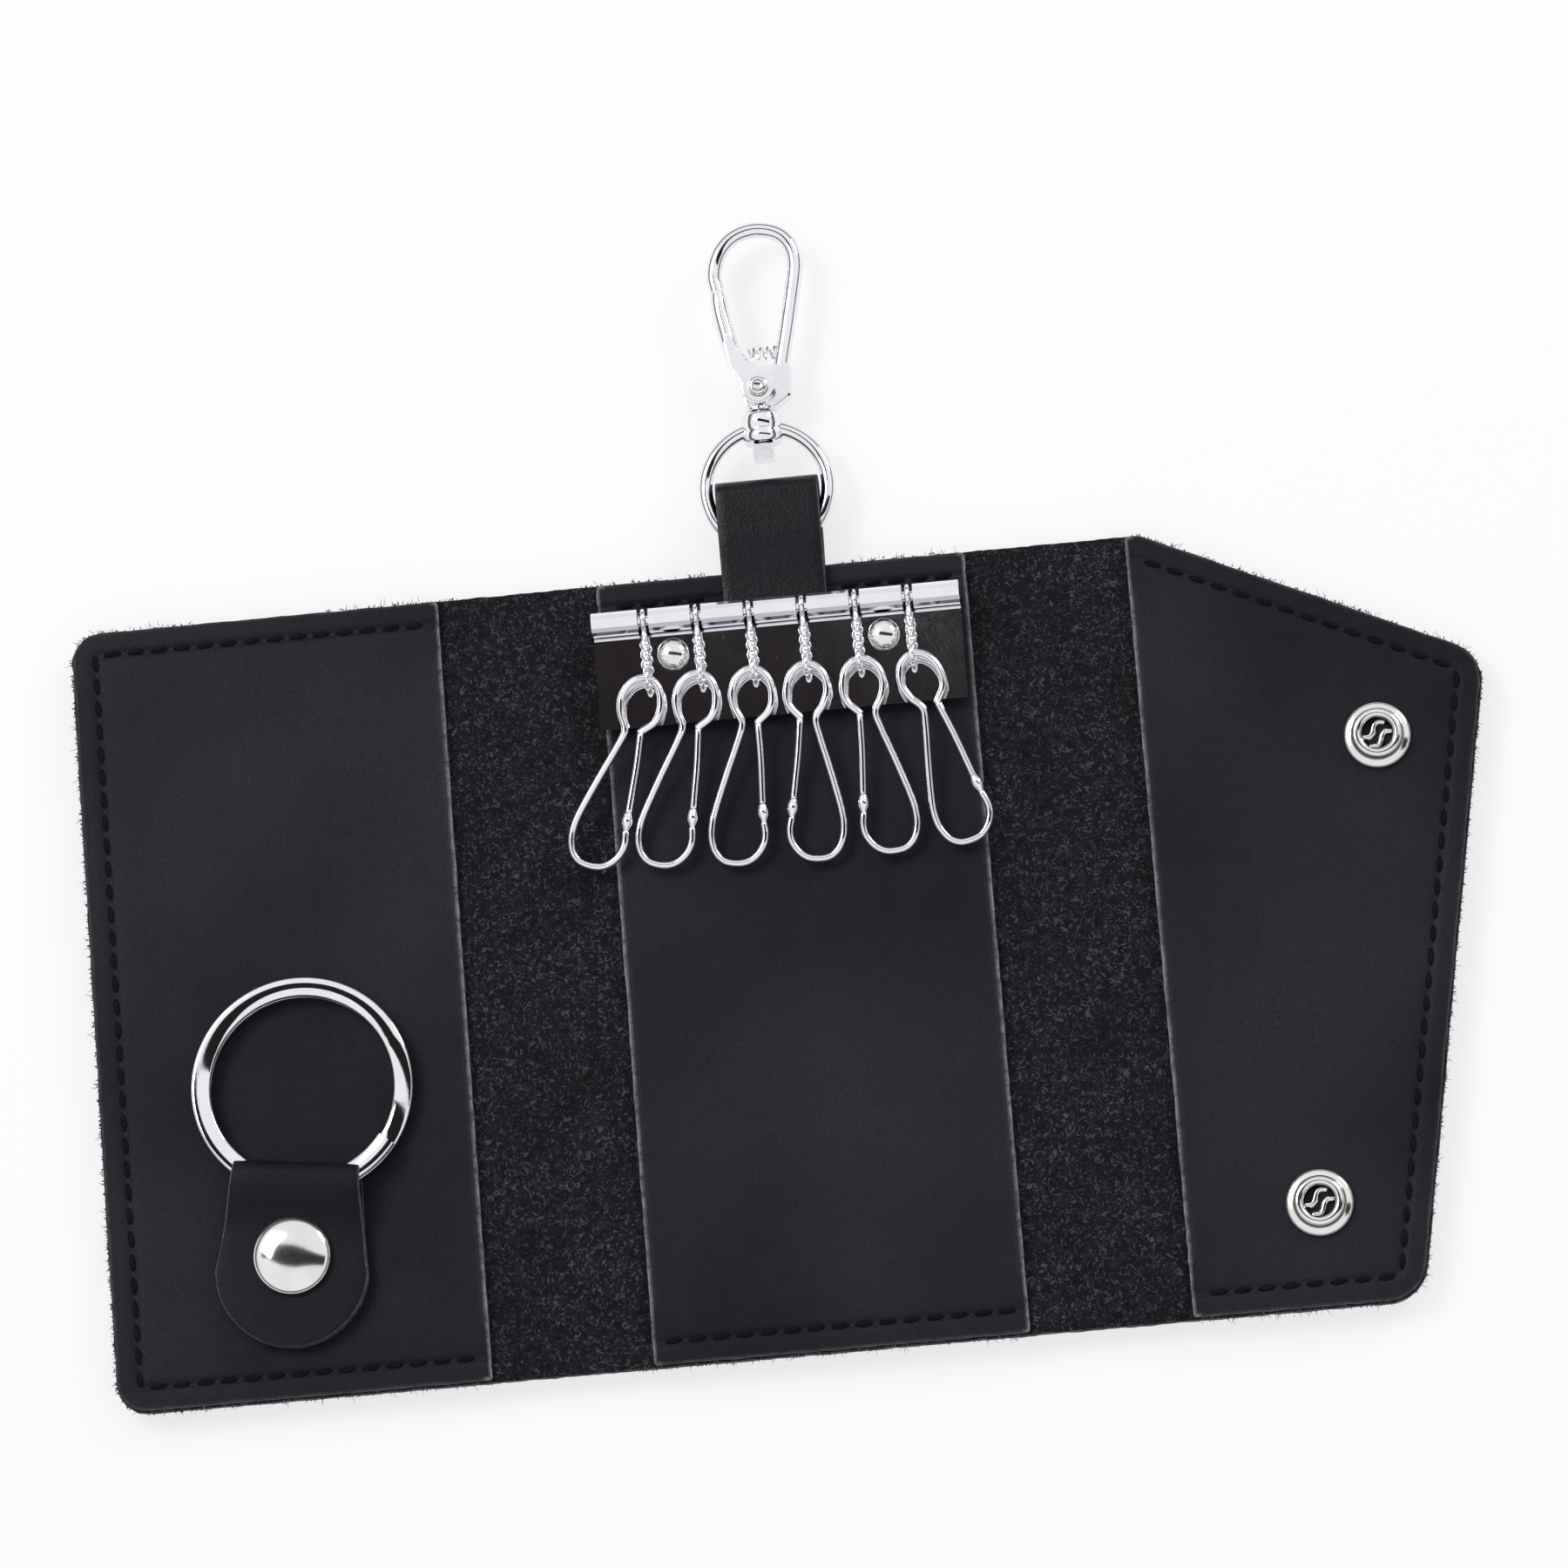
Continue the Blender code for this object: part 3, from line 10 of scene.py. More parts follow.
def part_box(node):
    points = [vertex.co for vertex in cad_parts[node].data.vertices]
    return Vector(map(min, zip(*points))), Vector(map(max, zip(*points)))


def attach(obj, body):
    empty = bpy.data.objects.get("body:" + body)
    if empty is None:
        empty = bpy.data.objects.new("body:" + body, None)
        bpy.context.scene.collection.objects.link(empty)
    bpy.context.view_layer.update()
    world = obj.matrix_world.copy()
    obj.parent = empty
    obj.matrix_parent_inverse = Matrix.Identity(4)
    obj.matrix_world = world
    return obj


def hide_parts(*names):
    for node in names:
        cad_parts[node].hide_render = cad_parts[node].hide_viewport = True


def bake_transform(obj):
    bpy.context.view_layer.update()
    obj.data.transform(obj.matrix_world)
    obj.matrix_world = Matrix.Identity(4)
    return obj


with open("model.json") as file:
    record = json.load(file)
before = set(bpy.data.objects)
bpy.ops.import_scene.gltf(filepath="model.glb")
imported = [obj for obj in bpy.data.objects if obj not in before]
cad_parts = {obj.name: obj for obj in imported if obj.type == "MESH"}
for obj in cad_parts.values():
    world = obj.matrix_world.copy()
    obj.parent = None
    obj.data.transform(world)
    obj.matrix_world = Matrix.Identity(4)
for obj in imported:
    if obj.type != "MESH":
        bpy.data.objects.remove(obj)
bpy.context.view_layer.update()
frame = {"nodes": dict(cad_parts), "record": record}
jointRows = {row["name"]: row for row in frame["record"]["behaviour"]["joints"]}
joints = {name: Vector(row["pos_m"]) for name, row in jointRows.items()}
print("frame loaded:", len(frame["nodes"]), "nodes")

# a short way to put something in the scene, and one to build node trees


def addObject(name, data):
    thing = bpy.data.objects.new(name, data)
    bpy.context.collection.objects.link(thing)
    return thing


class nodeMaker:
    def __init__(self, tree):
        self.tree = tree

    # a value goes to the socket of its name, or else it is a setting of the node
    def add(self, kind, **values):
        node = self.tree.nodes.new("ShaderNode" + kind)
        for name, value in values.items():
            if name.capitalize() in node.inputs:
                node.inputs[name.capitalize()].default_value = value
            else:
                setattr(node, name, value)
        return node

    def link(self, source, target):
        self.tree.links.new(source, target)

    def ramp(self, source, stops):
        node = self.add("ValToRGB")
        elements = node.color_ramp.elements
        elements[0].position, elements[1].position = stops[0][0], stops[-1][0]
        for position, colour in stops[1:-1]:
            elements.new(position)
        for element, (position, colour) in zip(elements, stops):
            element.color = (*colour, 1) if isinstance(colour, tuple) else (colour, colour, colour, 1)
        self.link(source, node.inputs["Fac"])
        return node.outputs["Color"]

    def math(self, operation, first, second=0.0):
        node = self.add("Math", operation=operation)
        for socket, value in zip(node.inputs, (first, second)):
            if isinstance(value, (int, float)):
                socket.default_value = value
            else:
                self.link(value, socket)
        return node.outputs[0]

    def mix(self, share, first, second):
        node = self.add("MixRGB")
        for socket, value in zip(node.inputs, (share, first, second)):
            if isinstance(value, tuple):
                socket.default_value = (*value, 1)
            elif isinstance(value, (int, float)):
                socket.default_value = value
            else:
                self.link(value, socket)
        return node.outputs[0]


class finishMaker(nodeMaker):
    def __init__(self, name):
        self.material = bpy.data.materials.new(name)
        self.material.use_nodes = True
        super().__init__(self.material.node_tree)
        self.shader = self.tree.nodes["Principled BSDF"]
        self.space = self.add("TexCoord").outputs["Object"]

    def noise(self, size, detail=3.0, roughness=0.55, distortion=0.0, space=None):
        node = self.add("TexNoise", scale=1 / size, detail=detail, roughness=roughness, distortion=distortion)
        self.link(space or self.space, node.inputs["Vector"])
        return node.outputs["Fac"]

    def bump(self, height, distance, strength=1.0, before=None):
        node = self.add("Bump", distance=distance, strength=strength)
        self.link(height, node.inputs["Height"])
        if before:
            self.link(before, node.inputs["Normal"])
        return node.outputs["Normal"]

    def wear(self):
        return self.add("Attribute", attribute_name="edgeWear").outputs["Fac"]

    # what is the same all over stands on the shader itself
    def done(self, colour, roughness, normal, **fixed):
        sockets = {"specular": "Specular IOR Level", "sheen": "Sheen Weight",
                   "sheenRoughness": "Sheen Roughness", "metallic": "Metallic"}
        for name, value in fixed.items():
            self.shader.inputs[sockets[name]].default_value = value
        self.link(colour, self.shader.inputs["Base Color"])
        self.link(roughness, self.shader.inputs["Roughness"])
        self.link(normal, self.shader.inputs["Normal"])
        return self.material


# camera, light, floor

photo = {
    "turn": (12.32, 4.35, -4.46),    # degrees, fitted to the open case in the picture
    "aim": (-0.0010, 0.0255, 0.002),
    "lens": 200,
    "sensor": 36,
    "width": 0.226,                  # metres of the case that the picture takes in
}
studio = {
    "floorHeight": -0.0024,
    "floorColour": (0.88, 0.88, 0.89),
    "floorRoughness": 0.9,
    "floorGlow": 0.7,
    "horizon": 0.12,
    "zenith": 0.92,
    "cardTurn": 14.0,                # degrees; a dark card overhead that the metal mirrors
    "cardMiddle": (0.0, 0.112),
    "cardHalf": (0.72, 0.116),
    "cardSoft": 0.005,
    "cardColour": (0.018, 0.0145, 0.015),
    "key": {"place": (-0.75, 0.55, 1.15), "power": 8.0, "size": 0.62},
    "rim": {"place": (0.8, 0.7, 0.6), "power": 2.6, "size": 0.35},
}


def setCamera():
    data = bpy.data.cameras.new("photoCamera")
    data.sensor_width = photo["sensor"]
    data.lens = photo["lens"]
    data.clip_end = 20
    eye = addObject("photoCamera", data)
    eye.rotation_euler = [math.radians(angle) for angle in photo["turn"]]
    away = photo["width"] * photo["lens"] / data.sensor_width
    eye.location = Vector(photo["aim"]) + eye.rotation_euler.to_matrix() @ Vector((0, 0, away))
    bpy.context.scene.camera = eye


def addSoftbox(name, place, power, size):
    data = bpy.data.lights.new(name, "AREA")
    data.shape = "SQUARE"
    data.size = size
    data.energy = power
    lamp = addObject(name, data)
    lamp.location = place
    lamp.rotation_euler = (Vector(photo["aim"]) - Vector(place)).to_track_quat("-Z", "Y").to_euler()


# a pale horizon, a dim band above it, a bright sky, and the card near the zenith
def setWorld():
    world = bpy.data.worlds.new("studio")
    world.use_nodes = True
    bpy.context.scene.world = world
    world.node_tree.nodes.clear()
    make = nodeMaker(world.node_tree)
    way = make.add("TexCoord").outputs["Generated"]
    height = make.add("SeparateXYZ")
    make.link(way, height.inputs[0])
    low, high = studio["horizon"], studio["zenith"]
    stops = ((0.0, 1.0), (0.09, 1.0), (0.11, low), (0.36, low * 1.3), (0.5, high), (1.0, high))
    sky = make.ramp(height.outputs["Z"], [(place, (value, value, value * 1.03)) for place, value in stops])
    turned = make.add("Mapping", rotation=(0, 0, math.radians(studio["cardTurn"])))
    make.link(way, turned.inputs["Vector"])
    across = make.add("SeparateXYZ")
    make.link(turned.outputs[0], across.inputs[0])
    sides = []
    for axis, middle, wide in zip("XY", studio["cardMiddle"], studio["cardHalf"]):
        edge = make.add("MapRange")
        limits = {"From Min": wide, "From Max": wide + studio["cardSoft"], "To Min": 1, "To Max": 0}
        for name, value in limits.items():
            edge.inputs[name].default_value = value
        away = make.math("ABSOLUTE", make.math("SUBTRACT", across.outputs[axis], middle))
        make.link(away, edge.inputs["Value"])
        sides.append(edge.outputs[0])
    light = make.add("Background")
    make.link(make.mix(make.math("MULTIPLY", *sides), sky, studio["cardColour"]), light.inputs["Color"])
    make.link(light.outputs[0], make.add("OutputWorld").inputs["Surface"])


# the floor glows for the camera and in what the metal mirrors, and keeps its shadow
def setFloor():
    bm = bmesh.new()
    bmesh.ops.create_grid(bm, x_segments=8, y_segments=8, size=3)
    mesh = bpy.data.meshes.new("floor")
    bm.to_mesh(mesh)
    bm.free()
    floor = addObject("floor", mesh)
    floor.location = (0, 0, studio["floorHeight"])
    make = finishMaker("paleFloor")
    make.shader.inputs["Base Color"].default_value = (*studio["floorColour"], 1)
    make.shader.inputs["Roughness"].default_value = studio["floorRoughness"]
    ray = make.add("LightPath").outputs
    seen = make.math("MAXIMUM", ray["Is Camera Ray"], ray["Is Glossy Ray"])
    seen = make.math("MAXIMUM", seen, ray["Is Transmission Ray"])
    mix = make.add("MixShader")
    make.link(make.math("MULTIPLY", seen, studio["floorGlow"]), mix.inputs["Fac"])
    make.link(make.shader.outputs[0], mix.inputs[1])
    make.link(make.add("Emission", color=(1, 1, 1, 1)).outputs[0], mix.inputs[2])
    make.link(mix.outputs[0], make.tree.nodes["Material Output"].inputs["Surface"])
    mesh.materials.append(make.material)


bpy.context.scene.view_settings.view_transform = "Standard"
setCamera()
setWorld()
addSoftbox("keyLight", **studio["key"])
addSoftbox("rimLight", **studio["rim"])
setFloor()
print("studio ready")

# finishes, all in metres of object space

# in these leather looks, the lighter patch colour is a painted sheen
outerLook = {
    "pebble": 0.0006, "pebbleDepth": 0.00028, "strength": 1.0, "roughness": 0.4, "glossSpread": 0.14,
    "patch": 0.02, "dark": (0.0068, 0.0068, 0.0098), "light": (0.0115, 0.0115, 0.0160),
    "paintedSheen": (0.018, 0.018, 0.0245), "paintedSheenShare": 0.6, "crease": (0.0025, 0.0025, 0.0035),
    "worn": (0.34, 0.34, 0.38), "specular": 0.45,
}
liningLook = {
    "pebble": 0.00042, "pebbleDepth": 0.00006, "strength": 0.5, "roughness": 0.56, "glossSpread": 0.3,
    "patch": 0.05, "dark": (0.0022, 0.0022, 0.0058), "light": (0.0048, 0.0048, 0.0105),
    "paintedSheen": (0.0225, 0.0225, 0.0330), "paintedSheenShare": 0.5, "crease": (0.0015, 0.0015, 0.0035),
    "worn": (0.42, 0.42, 0.46), "specular": 0.175,
}
strapLook = {
    "pebble": 0.0006, "pebbleDepth": 0.00004, "strength": 0.5, "roughness": 0.34, "glossSpread": 0.12,
    "patch": 0.012, "dark": (0.0022, 0.0022, 0.0040), "light": (0.0045, 0.0045, 0.0075),
    "paintedSheen": (0.0085, 0.0085, 0.0135), "paintedSheenShare": 0.5, "crease": (0.001, 0.001, 0.002),
    "worn": (0.09, 0.09, 0.105), "specular": 0.26,
}
grain = {"streaks": 0.0045, "streakDepth": 0.0002, "scuffs": 0.0016}    # the same in all smooth leather


def leatherFinish(name, look):
    make = finishMaker(name)
    warp = make.add("TexNoise", scale=1 / (look["pebble"] * 2.2), detail=2.0)
    make.link(make.space, warp.inputs["Vector"])
    shift = make.add("VectorMath", operation="MULTIPLY_ADD")
    make.link(warp.outputs["Color"], shift.inputs[0])
    shift.inputs[1].default_value = (look["pebble"] * 1.1,) * 3
    make.link(make.space, shift.inputs[2])
    cells = make.add("TexVoronoi", scale=1 / look["pebble"], feature="DISTANCE_TO_EDGE")
    make.link(shift.outputs[0], cells.inputs["Vector"])
    crease = make.ramp(cells.outputs["Distance"], ((0.0, 0.0), (0.16, 0.72), (0.42, 1.0)))
    pores = make.noise(look["pebble"] * 0.28, 2.0)
    patches = make.noise(look["patch"], 2.0, 0.45)
    streaks = make.noise(grain["streaks"], 4.0, 0.65)
    tone = make.ramp(streaks, ((0.32, look["dark"]), (0.68, look["light"])))
    # lighter patches of colour at random: a painted sheen, where the roughness is lower too
    paintedSheen = make.ramp(patches, ((0.4, 0.0), (0.68, look["paintedSheenShare"])))
    tone = make.mix(paintedSheen, tone, look["paintedSheen"])
    # the grain's valleys take the darker crease colour: painted shade between the pebbles
    tone = make.mix(make.ramp(crease, ((0.0, 0.55), (0.5, 0.0))), tone, look["crease"])
    # wear above zero is the rubbed rim, below zero the darker strip outside the seam
    scuffs = make.ramp(make.noise(grain["scuffs"], 4.0, 0.75), ((0.36, 0.25), (0.56, 1.0)))
    rubbed = make.math("MULTIPLY", make.ramp(pores, ((0.4, 0.5), (0.6, 1.0))), scuffs)
    edgeWear = make.wear()
    strip = make.math("MAXIMUM", make.math("MULTIPLY", edgeWear, -1.0), 0.0)
    rim = make.math("MULTIPLY", make.math("MAXIMUM", edgeWear, 0.0), rubbed)
    tone = make.mix(rim, make.mix(strip, tone, look["crease"]), look["worn"])
    gloss = make.math("ADD", make.math("MULTIPLY", patches, -look["glossSpread"]), look["roughness"])
    gloss = make.math("ADD", gloss, make.math("MULTIPLY", pores, 0.1))
    normal = make.bump(crease, look["pebbleDepth"], look["strength"])
    normal = make.bump(pores, look["pebbleDepth"] * 0.4, 0.5, normal)
    normal = make.bump(streaks, grain["streakDepth"], 0.25, normal)
    return make.done(tone, gloss, normal, specular=look["specular"], sheen=0.0, sheenRoughness=0.5)


suedeLook = {
    "fibre": 0.0012, "fibreDepth": 0.0004, "speckSize": 0.0007, "speckDepth": 0.0003, "patch": 0.013,
    "dark": (0.0030, 0.0028, 0.0046), "mid": (0.0092, 0.0088, 0.0122), "light": (0.030, 0.029, 0.036),
    "speck": (0.072, 0.072, 0.079), "roughness": 0.8,
}


def suedeFinish(name, look):
    make = finishMaker(name)
    fibres = make.noise(look["fibre"], 6.0, 0.8, 1.2)
    specks = make.noise(look["speckSize"], 1.0, 0.5, 1.5)
    patches = make.noise(look["patch"], 3.0, 0.6)
    tone = make.ramp(fibres, ((0.38, look["dark"]), (0.52, look["mid"]), (0.66, look["light"])))
    tone = make.mix(make.ramp(specks, ((0.57, 0.0), (0.66, 1.0))), tone, look["speck"])
    tone = make.mix(make.ramp(patches, ((0.3, 0.5), (0.62, 0.0))), tone, look["dark"])
    normal = make.bump(fibres, look["fibreDepth"], 0.9)
    normal = make.bump(specks, look["speckDepth"], 0.6, normal)
    gloss = make.math("ADD", make.math("MULTIPLY", fibres, 0.15), look["roughness"])
    return make.done(tone, gloss, normal, specular=0.15, sheen=0.06, sheenRoughness=0.4)


edgeLook = {
    "fibre": 0.00022, "fibreDepth": 0.0002, "clump": 0.0021, "roughness": 0.68,
    "dark": (0.024, 0.024, 0.029), "mid": (0.095, 0.095, 0.112), "light": (0.32, 0.32, 0.36),
}


def rawEdgeFinish(name, look):
    make = finishMaker(name)
    fibres = make.noise(look["fibre"], 5.0, 0.8, 1.5)
    clumps = make.noise(look["clump"], 3.0, 0.6, 1.0)
    tone = make.ramp(fibres, ((0.32, look["dark"]), (0.52, look["mid"]), (0.72, look["light"])))
    tone = make.mix(make.ramp(clumps, ((0.38, 0.75), (0.66, 0.0))), tone, look["dark"])
    gloss = make.math("ADD", make.math("MULTIPLY", clumps, 0.2), look["roughness"])
    return make.done(tone, gloss, make.bump(fibres, look["fibreDepth"], 0.7), specular=0.3)


threadLook = {
    "twist": 0.0012, "twistDepth": 0.00008, "dirt": 0.003, "roughness": 0.5,
    "dark": (0.0008, 0.0008, 0.0010), "light": (0.0035, 0.0035, 0.0042),
}


def threadFinish(name, look):
    make = finishMaker(name)
    wave = make.add("TexWave", scale=1 / look["twist"], distortion=1.2, bands_direction="DIAGONAL")
    make.link(make.space, wave.inputs["Vector"])
    twist = wave.outputs["Fac"]
    dirt = make.noise(look["dirt"], 3.0)
    tone = make.ramp(twist, ((0.2, look["dark"]), (0.8, look["light"])))
    tone = make.mix(make.ramp(dirt, ((0.4, 0.0), (0.7, 0.5))), tone, look["dark"])
    gloss = make.math("ADD", make.math("MULTIPLY", dirt, 0.2), look["roughness"])
    return make.done(tone, gloss, make.bump(twist, look["twistDepth"], 0.7), specular=0.12)


chromeLook = {
    "colour": (0.9, 0.9, 0.92), "haze": (0.8, 0.8, 0.84),
    "roughness": 0.022, "hazeSpread": 0.035, "scratch": 0.1,
}
nickelLook = {
    "colour": (0.86, 0.855, 0.83), "haze": (0.74, 0.72, 0.69),
    "roughness": 0.08, "hazeSpread": 0.08, "scratch": 0.15,
}
# a dark metal for the inside of the snap cups: painted shade in the well
shadeLook = {
    "colour": (0.03, 0.028, 0.027), "haze": (0.018, 0.017, 0.016),
    "roughness": 0.4, "hazeSpread": 0.1, "scratch": 0.1,
}
polish = {"haze": 0.006, "scratches": 0.00012, "scratchDepth": 0.000004, "waves": 0.011, "waveDepth": 0.00002}


def metalFinish(name, look):
    make = finishMaker(name)
    haze = make.noise(polish["haze"], 4.0, 0.6)
    brush = make.add("Mapping", scale=(1.0, 0.12, 0.5))
    make.link(make.space, brush.inputs["Vector"])
    scratches = make.noise(polish["scratches"], 3.0, 0.7, 0.4, brush.outputs[0])
    tone = make.mix(make.ramp(haze, ((0.35, 0.0), (0.7, 0.6))), look["colour"], look["haze"])
    gloss = make.math("ADD", make.math("MULTIPLY", haze, look["hazeSpread"]), look["roughness"])
    gloss = make.math("ADD", gloss, make.ramp(scratches, ((0.62, 0.0), (0.8, look["scratch"]))))
    normal = make.bump(make.noise(polish["waves"], 0.0), polish["waveDepth"])
    return make.done(tone, gloss, make.bump(scratches, polish["scratchDepth"], 0.5, normal), metallic=1.0)


finishes = {
    "outer": leatherFinish("pebbledLeather", outerLook),
    "lining": leatherFinish("liningLeather", liningLook),
    "strap": leatherFinish("strapLeather", strapLook),
    "suede": suedeFinish("fleshSide", suedeLook),
    "edge": rawEdgeFinish("rawEdge", edgeLook),
    "thread": threadFinish("blackThread", threadLook),
    "chrome": metalFinish("chromePlate", chromeLook),
    "nickel": metalFinish("nickelPlate", nickelLook),
    "shade": metalFinish("paintedShadeMetal", shadeLook),
}
print("finishes ready:", len(finishes))

# making shapes


# smooth: degrees from which an edge is sharp; None keeps the normals of an open piece and has no sharp edge
def place(name, bm, looks, body, slot, replaced=(), smooth=40, wear=None):
    mesh = bpy.data.meshes.new(name)
    if smooth:
        bmesh.ops.recalc_face_normals(bm, faces=bm.faces)
    bm.to_mesh(mesh)
    bm.free()
    for look in looks:
        mesh.materials.append(finishes[look])
    mesh.shade_smooth()
    if smooth:
        mesh.set_sharp_from_angle(angle=math.radians(smooth))
    if wear is not None:
        layer = mesh.attributes.new("edgeWear", "FLOAT", "POINT")
        layer.data.foreach_set("value", wear.astype(np.float32))
    piece = addObject(name, mesh)
    if isinstance(body, str):
        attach(piece, body)
    else:
        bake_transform(piece)
    if replaced:
        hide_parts(*replaced)


def stitchLoops(bm, loops, look=0):
    for near, far in zip(loops, loops[1:]):
        count = len(near)
        for index in range(count):
            after = (index + 1) % count
            face = bm.faces.new((near[index], near[after], far[after], far[index]))
            face.material_index = look


def circle(steps, radius=1.0):
    angles = [2 * math.pi * k / steps for k in range(steps)]
    return [(radius * math.cos(angle), radius * math.sin(angle)) for angle in angles]


# a smooth curve through the points of an open line
def smoothPath(points, per=5):
    points = [Vector(point).to_3d() for point in points]
    path = []
    for index in range(len(points) - 1):
        b, c = points[index], points[index + 1]
        a = points[index - 1] if index else b * 2 - c
        d = points[index + 2] if index + 2 < len(points) else c * 2 - b
        for step in range(per):
            t = step / per
            bend = (2 * a - 5 * b + 4 * c - d) * t * t + (3 * b - a - 3 * c + d) * t ** 3
            path.append(0.5 * (2 * b + (c - a) * t + bend))
    path.append(points[-1])
    return path


endCaps = ((0.93, 0.3), (0.7, 0.7), (0.35, 0.93))    # reach and width of a rounded end, in radii


def addTube(bm, points, radius, sides=12, closed=False, swells=None, matrix=None, profile=None,
            upright=None, roundEnds=True):
    points = [Vector(point).to_3d() for point in points]
    count = len(points)
    profile = profile or circle(sides)
    stations = []
    side = Vector(upright) if upright else None
    for index, point in enumerate(points):
        before = points[index - 1] if closed or index else point
        after = points[(index + 1) % count] if closed or index < count - 1 else point
        tangent = (after - before).normalized()
        side = side if side else tangent.orthogonal()
        side = (side - tangent * side.dot(tangent)).normalized()
        swell = swells[index] if swells else 1
        stations.append((point, tangent, side.copy(), tangent.cross(side), radius * swell))
    if not closed and roundEnds:
        caps = []
        for (point, tangent, side, over, size), outward in ((stations[0], -1), (stations[-1], 1)):
            caps.append([(point + tangent * outward * size * reach, tangent, side, over, size * wide)
                         for reach, wide in endCaps])
        stations = caps[0] + stations + caps[1][::-1]
    loops = []
    for point, tangent, side, over, size in stations:
        ring = [point + (side * a + over * b) * size for a, b in profile]
        loops.append([bm.verts.new(matrix @ spot if matrix else spot) for spot in ring])
    if closed:
        stitchLoops(bm, loops + loops[:1])
        return
    stitchLoops(bm, loops)
    for ring in (loops[0], loops[-1]):
        bm.faces.new(ring)


axisGap = 0.00005    # a turned profile that closes on its axis ends this far from it
boreLeast = 0.0013   # a profile's end that is wider than this stays open


def addTurned(bm, profile, centre=(0, 0, 0), steps=64, look=0, matrix=None):
    loops = []
    for radius, height in profile:
        ring = [Vector((centre[0] + x, centre[1] + y, centre[2] + height)) for x, y in circle(steps, radius)]
        loops.append([bm.verts.new(matrix @ spot if matrix else spot) for spot in ring])
    stitchLoops(bm, loops, look)
    for ring, (radius, height) in ((loops[0], profile[0]), (loops[-1], profile[-1])):
        if radius < boreLeast:
            bm.faces.new(ring).material_index = look


leastSide = 0.0004    # a side that an inset leaves shorter than this has shrunk away
sideTuck = 0.0002


def insetCorners(corners, depth):
    corners = [Vector(corner) for corner in corners]
    moved = []
    count = len(corners)
    for index, here in enumerate(corners):
        before = (here - corners[index - 1]).normalized()
        after = (corners[(index + 1) % count] - here).normalized()
        inBefore, inAfter = Vector((-before.y, before.x)), Vector((-after.y, after.x))
        middle = (inBefore + inAfter).normalized()
        moved.append(here + middle * (depth / middle.dot(inBefore)))
    for index, here in enumerate(corners):
        ahead, beyond = (index + 1) % count, (index + 2) % count
        side = corners[ahead] - here
        if side.dot(moved[ahead] - moved[index]) > leastSide * side.length:
            continue
        # a short side that has shrunk away: its neighbours meet
        a, wayA = moved[index - 1], (here - corners[index - 1]).normalized()
        b, wayB = moved[beyond], (corners[ahead] - corners[beyond]).normalized()
        cross = wayA.x * wayB.y - wayA.y * wayB.x
        gap = b - a
        meet = a + wayA * ((gap.x * wayB.y - gap.y * wayB.x) / cross)
        moved[index], moved[ahead] = meet - wayA * sideTuck, meet - wayB * sideTuck
    return moved


cornerShare = 0.45    # how much of its shorter side a round corner may take


def roundedLoop(corners, radii, steps=9):
    corners = [Vector(corner) for corner in corners]
    loop = []
    count = len(corners)
    for index, radius in enumerate(radii):
        here = corners[index]
        toLast, toNext = corners[index - 1] - here, corners[(index + 1) % count] - here
        back, ahead = toLast.normalized(), toNext.normalized()
        halfAngle = back.angle(ahead) / 2
        radius = min(radius, cornerShare * math.tan(halfAngle) * min(toLast.length, toNext.length))
        centre = here + (back + ahead).normalized() * (radius / math.sin(halfAngle))
        first = here + back * (radius / math.tan(halfAngle)) - centre
        last = here + ahead * (radius / math.tan(halfAngle)) - centre
        sweep = math.atan2(first.x * last.y - first.y * last.x, first.dot(last))
        for step in range(steps + 1):
            turn = sweep * step / steps
            x, y = math.cos(turn), math.sin(turn)
            loop.append(centre + Vector((first.x * x - first.y * y, first.x * y + first.y * x)))
    return loop


def edgeLoop(corners, radii, depth, least=0.0005):
    return roundedLoop(insetCorners(corners, depth), [max(radius - depth, least) for radius in radii])


# a cut edge is rounded over this share of the thickness, and its rings lie so far in and so far down in it
edgeShare = 0.22
edgeRound = ((0.35, 0.12), (0.1, 0.4), (0, 1))


# looks: 0 on top, 1 on the cut edge, 2 underneath
def addPanel(bm, corners, radii, low, high, depths):
    edge = (high - low) * edgeShare
    rings = [(depth, high) for depth in depths]
    rings += [(edge * inward, high - edge * down) for inward, down in edgeRound]
    rings += [(edge * inward, low + edge * up) for inward, up in reversed(edgeRound)]
    rings += [(depth, low) for depth in reversed(depths)]
    loops = []
    for depth, height in rings:
        loop = edgeLoop(corners, radii, depth)
        loops.append([bm.verts.new((spot.x, spot.y, height)) for spot in loop])
    tops, sides = len(depths), 2 * len(edgeRound) - 1
    for index, (near, far) in enumerate(zip(loops, loops[1:])):
        look = 0 if index < tops else 1 if index < tops + sides else 2
        stitchLoops(bm, [near, far], look)
    bm.faces.new(loops[0]).material_index = 0
    bm.faces.new(loops[-1]).material_index = 2


def dice(bm, xs, ys):
    for normal, values in ((Vector((1, 0, 0)), xs), (Vector((0, 1, 0)), ys)):
        for value in values:
            parts = bm.verts[:] + bm.edges[:] + bm.faces[:]
            bmesh.ops.bisect_plane(bm, geom=parts, dist=1e-6, plane_co=normal * value, plane_no=normal)


def leastDistance(spots, paths):
    least = np.full(len(spots), 1.0)
    for path in paths:
        for start, end in zip(path, path[1:]):
            start, end = np.array(start[:2]), np.array(end[:2])
            along = end - start
            length = float(along @ along)
            if length < 1e-14:
                continue
            share = np.clip((spots - start) @ along / length, 0, 1)
            least = np.minimum(least, np.linalg.norm(spots - (start + share[:, None] * along), axis=1))
    return least


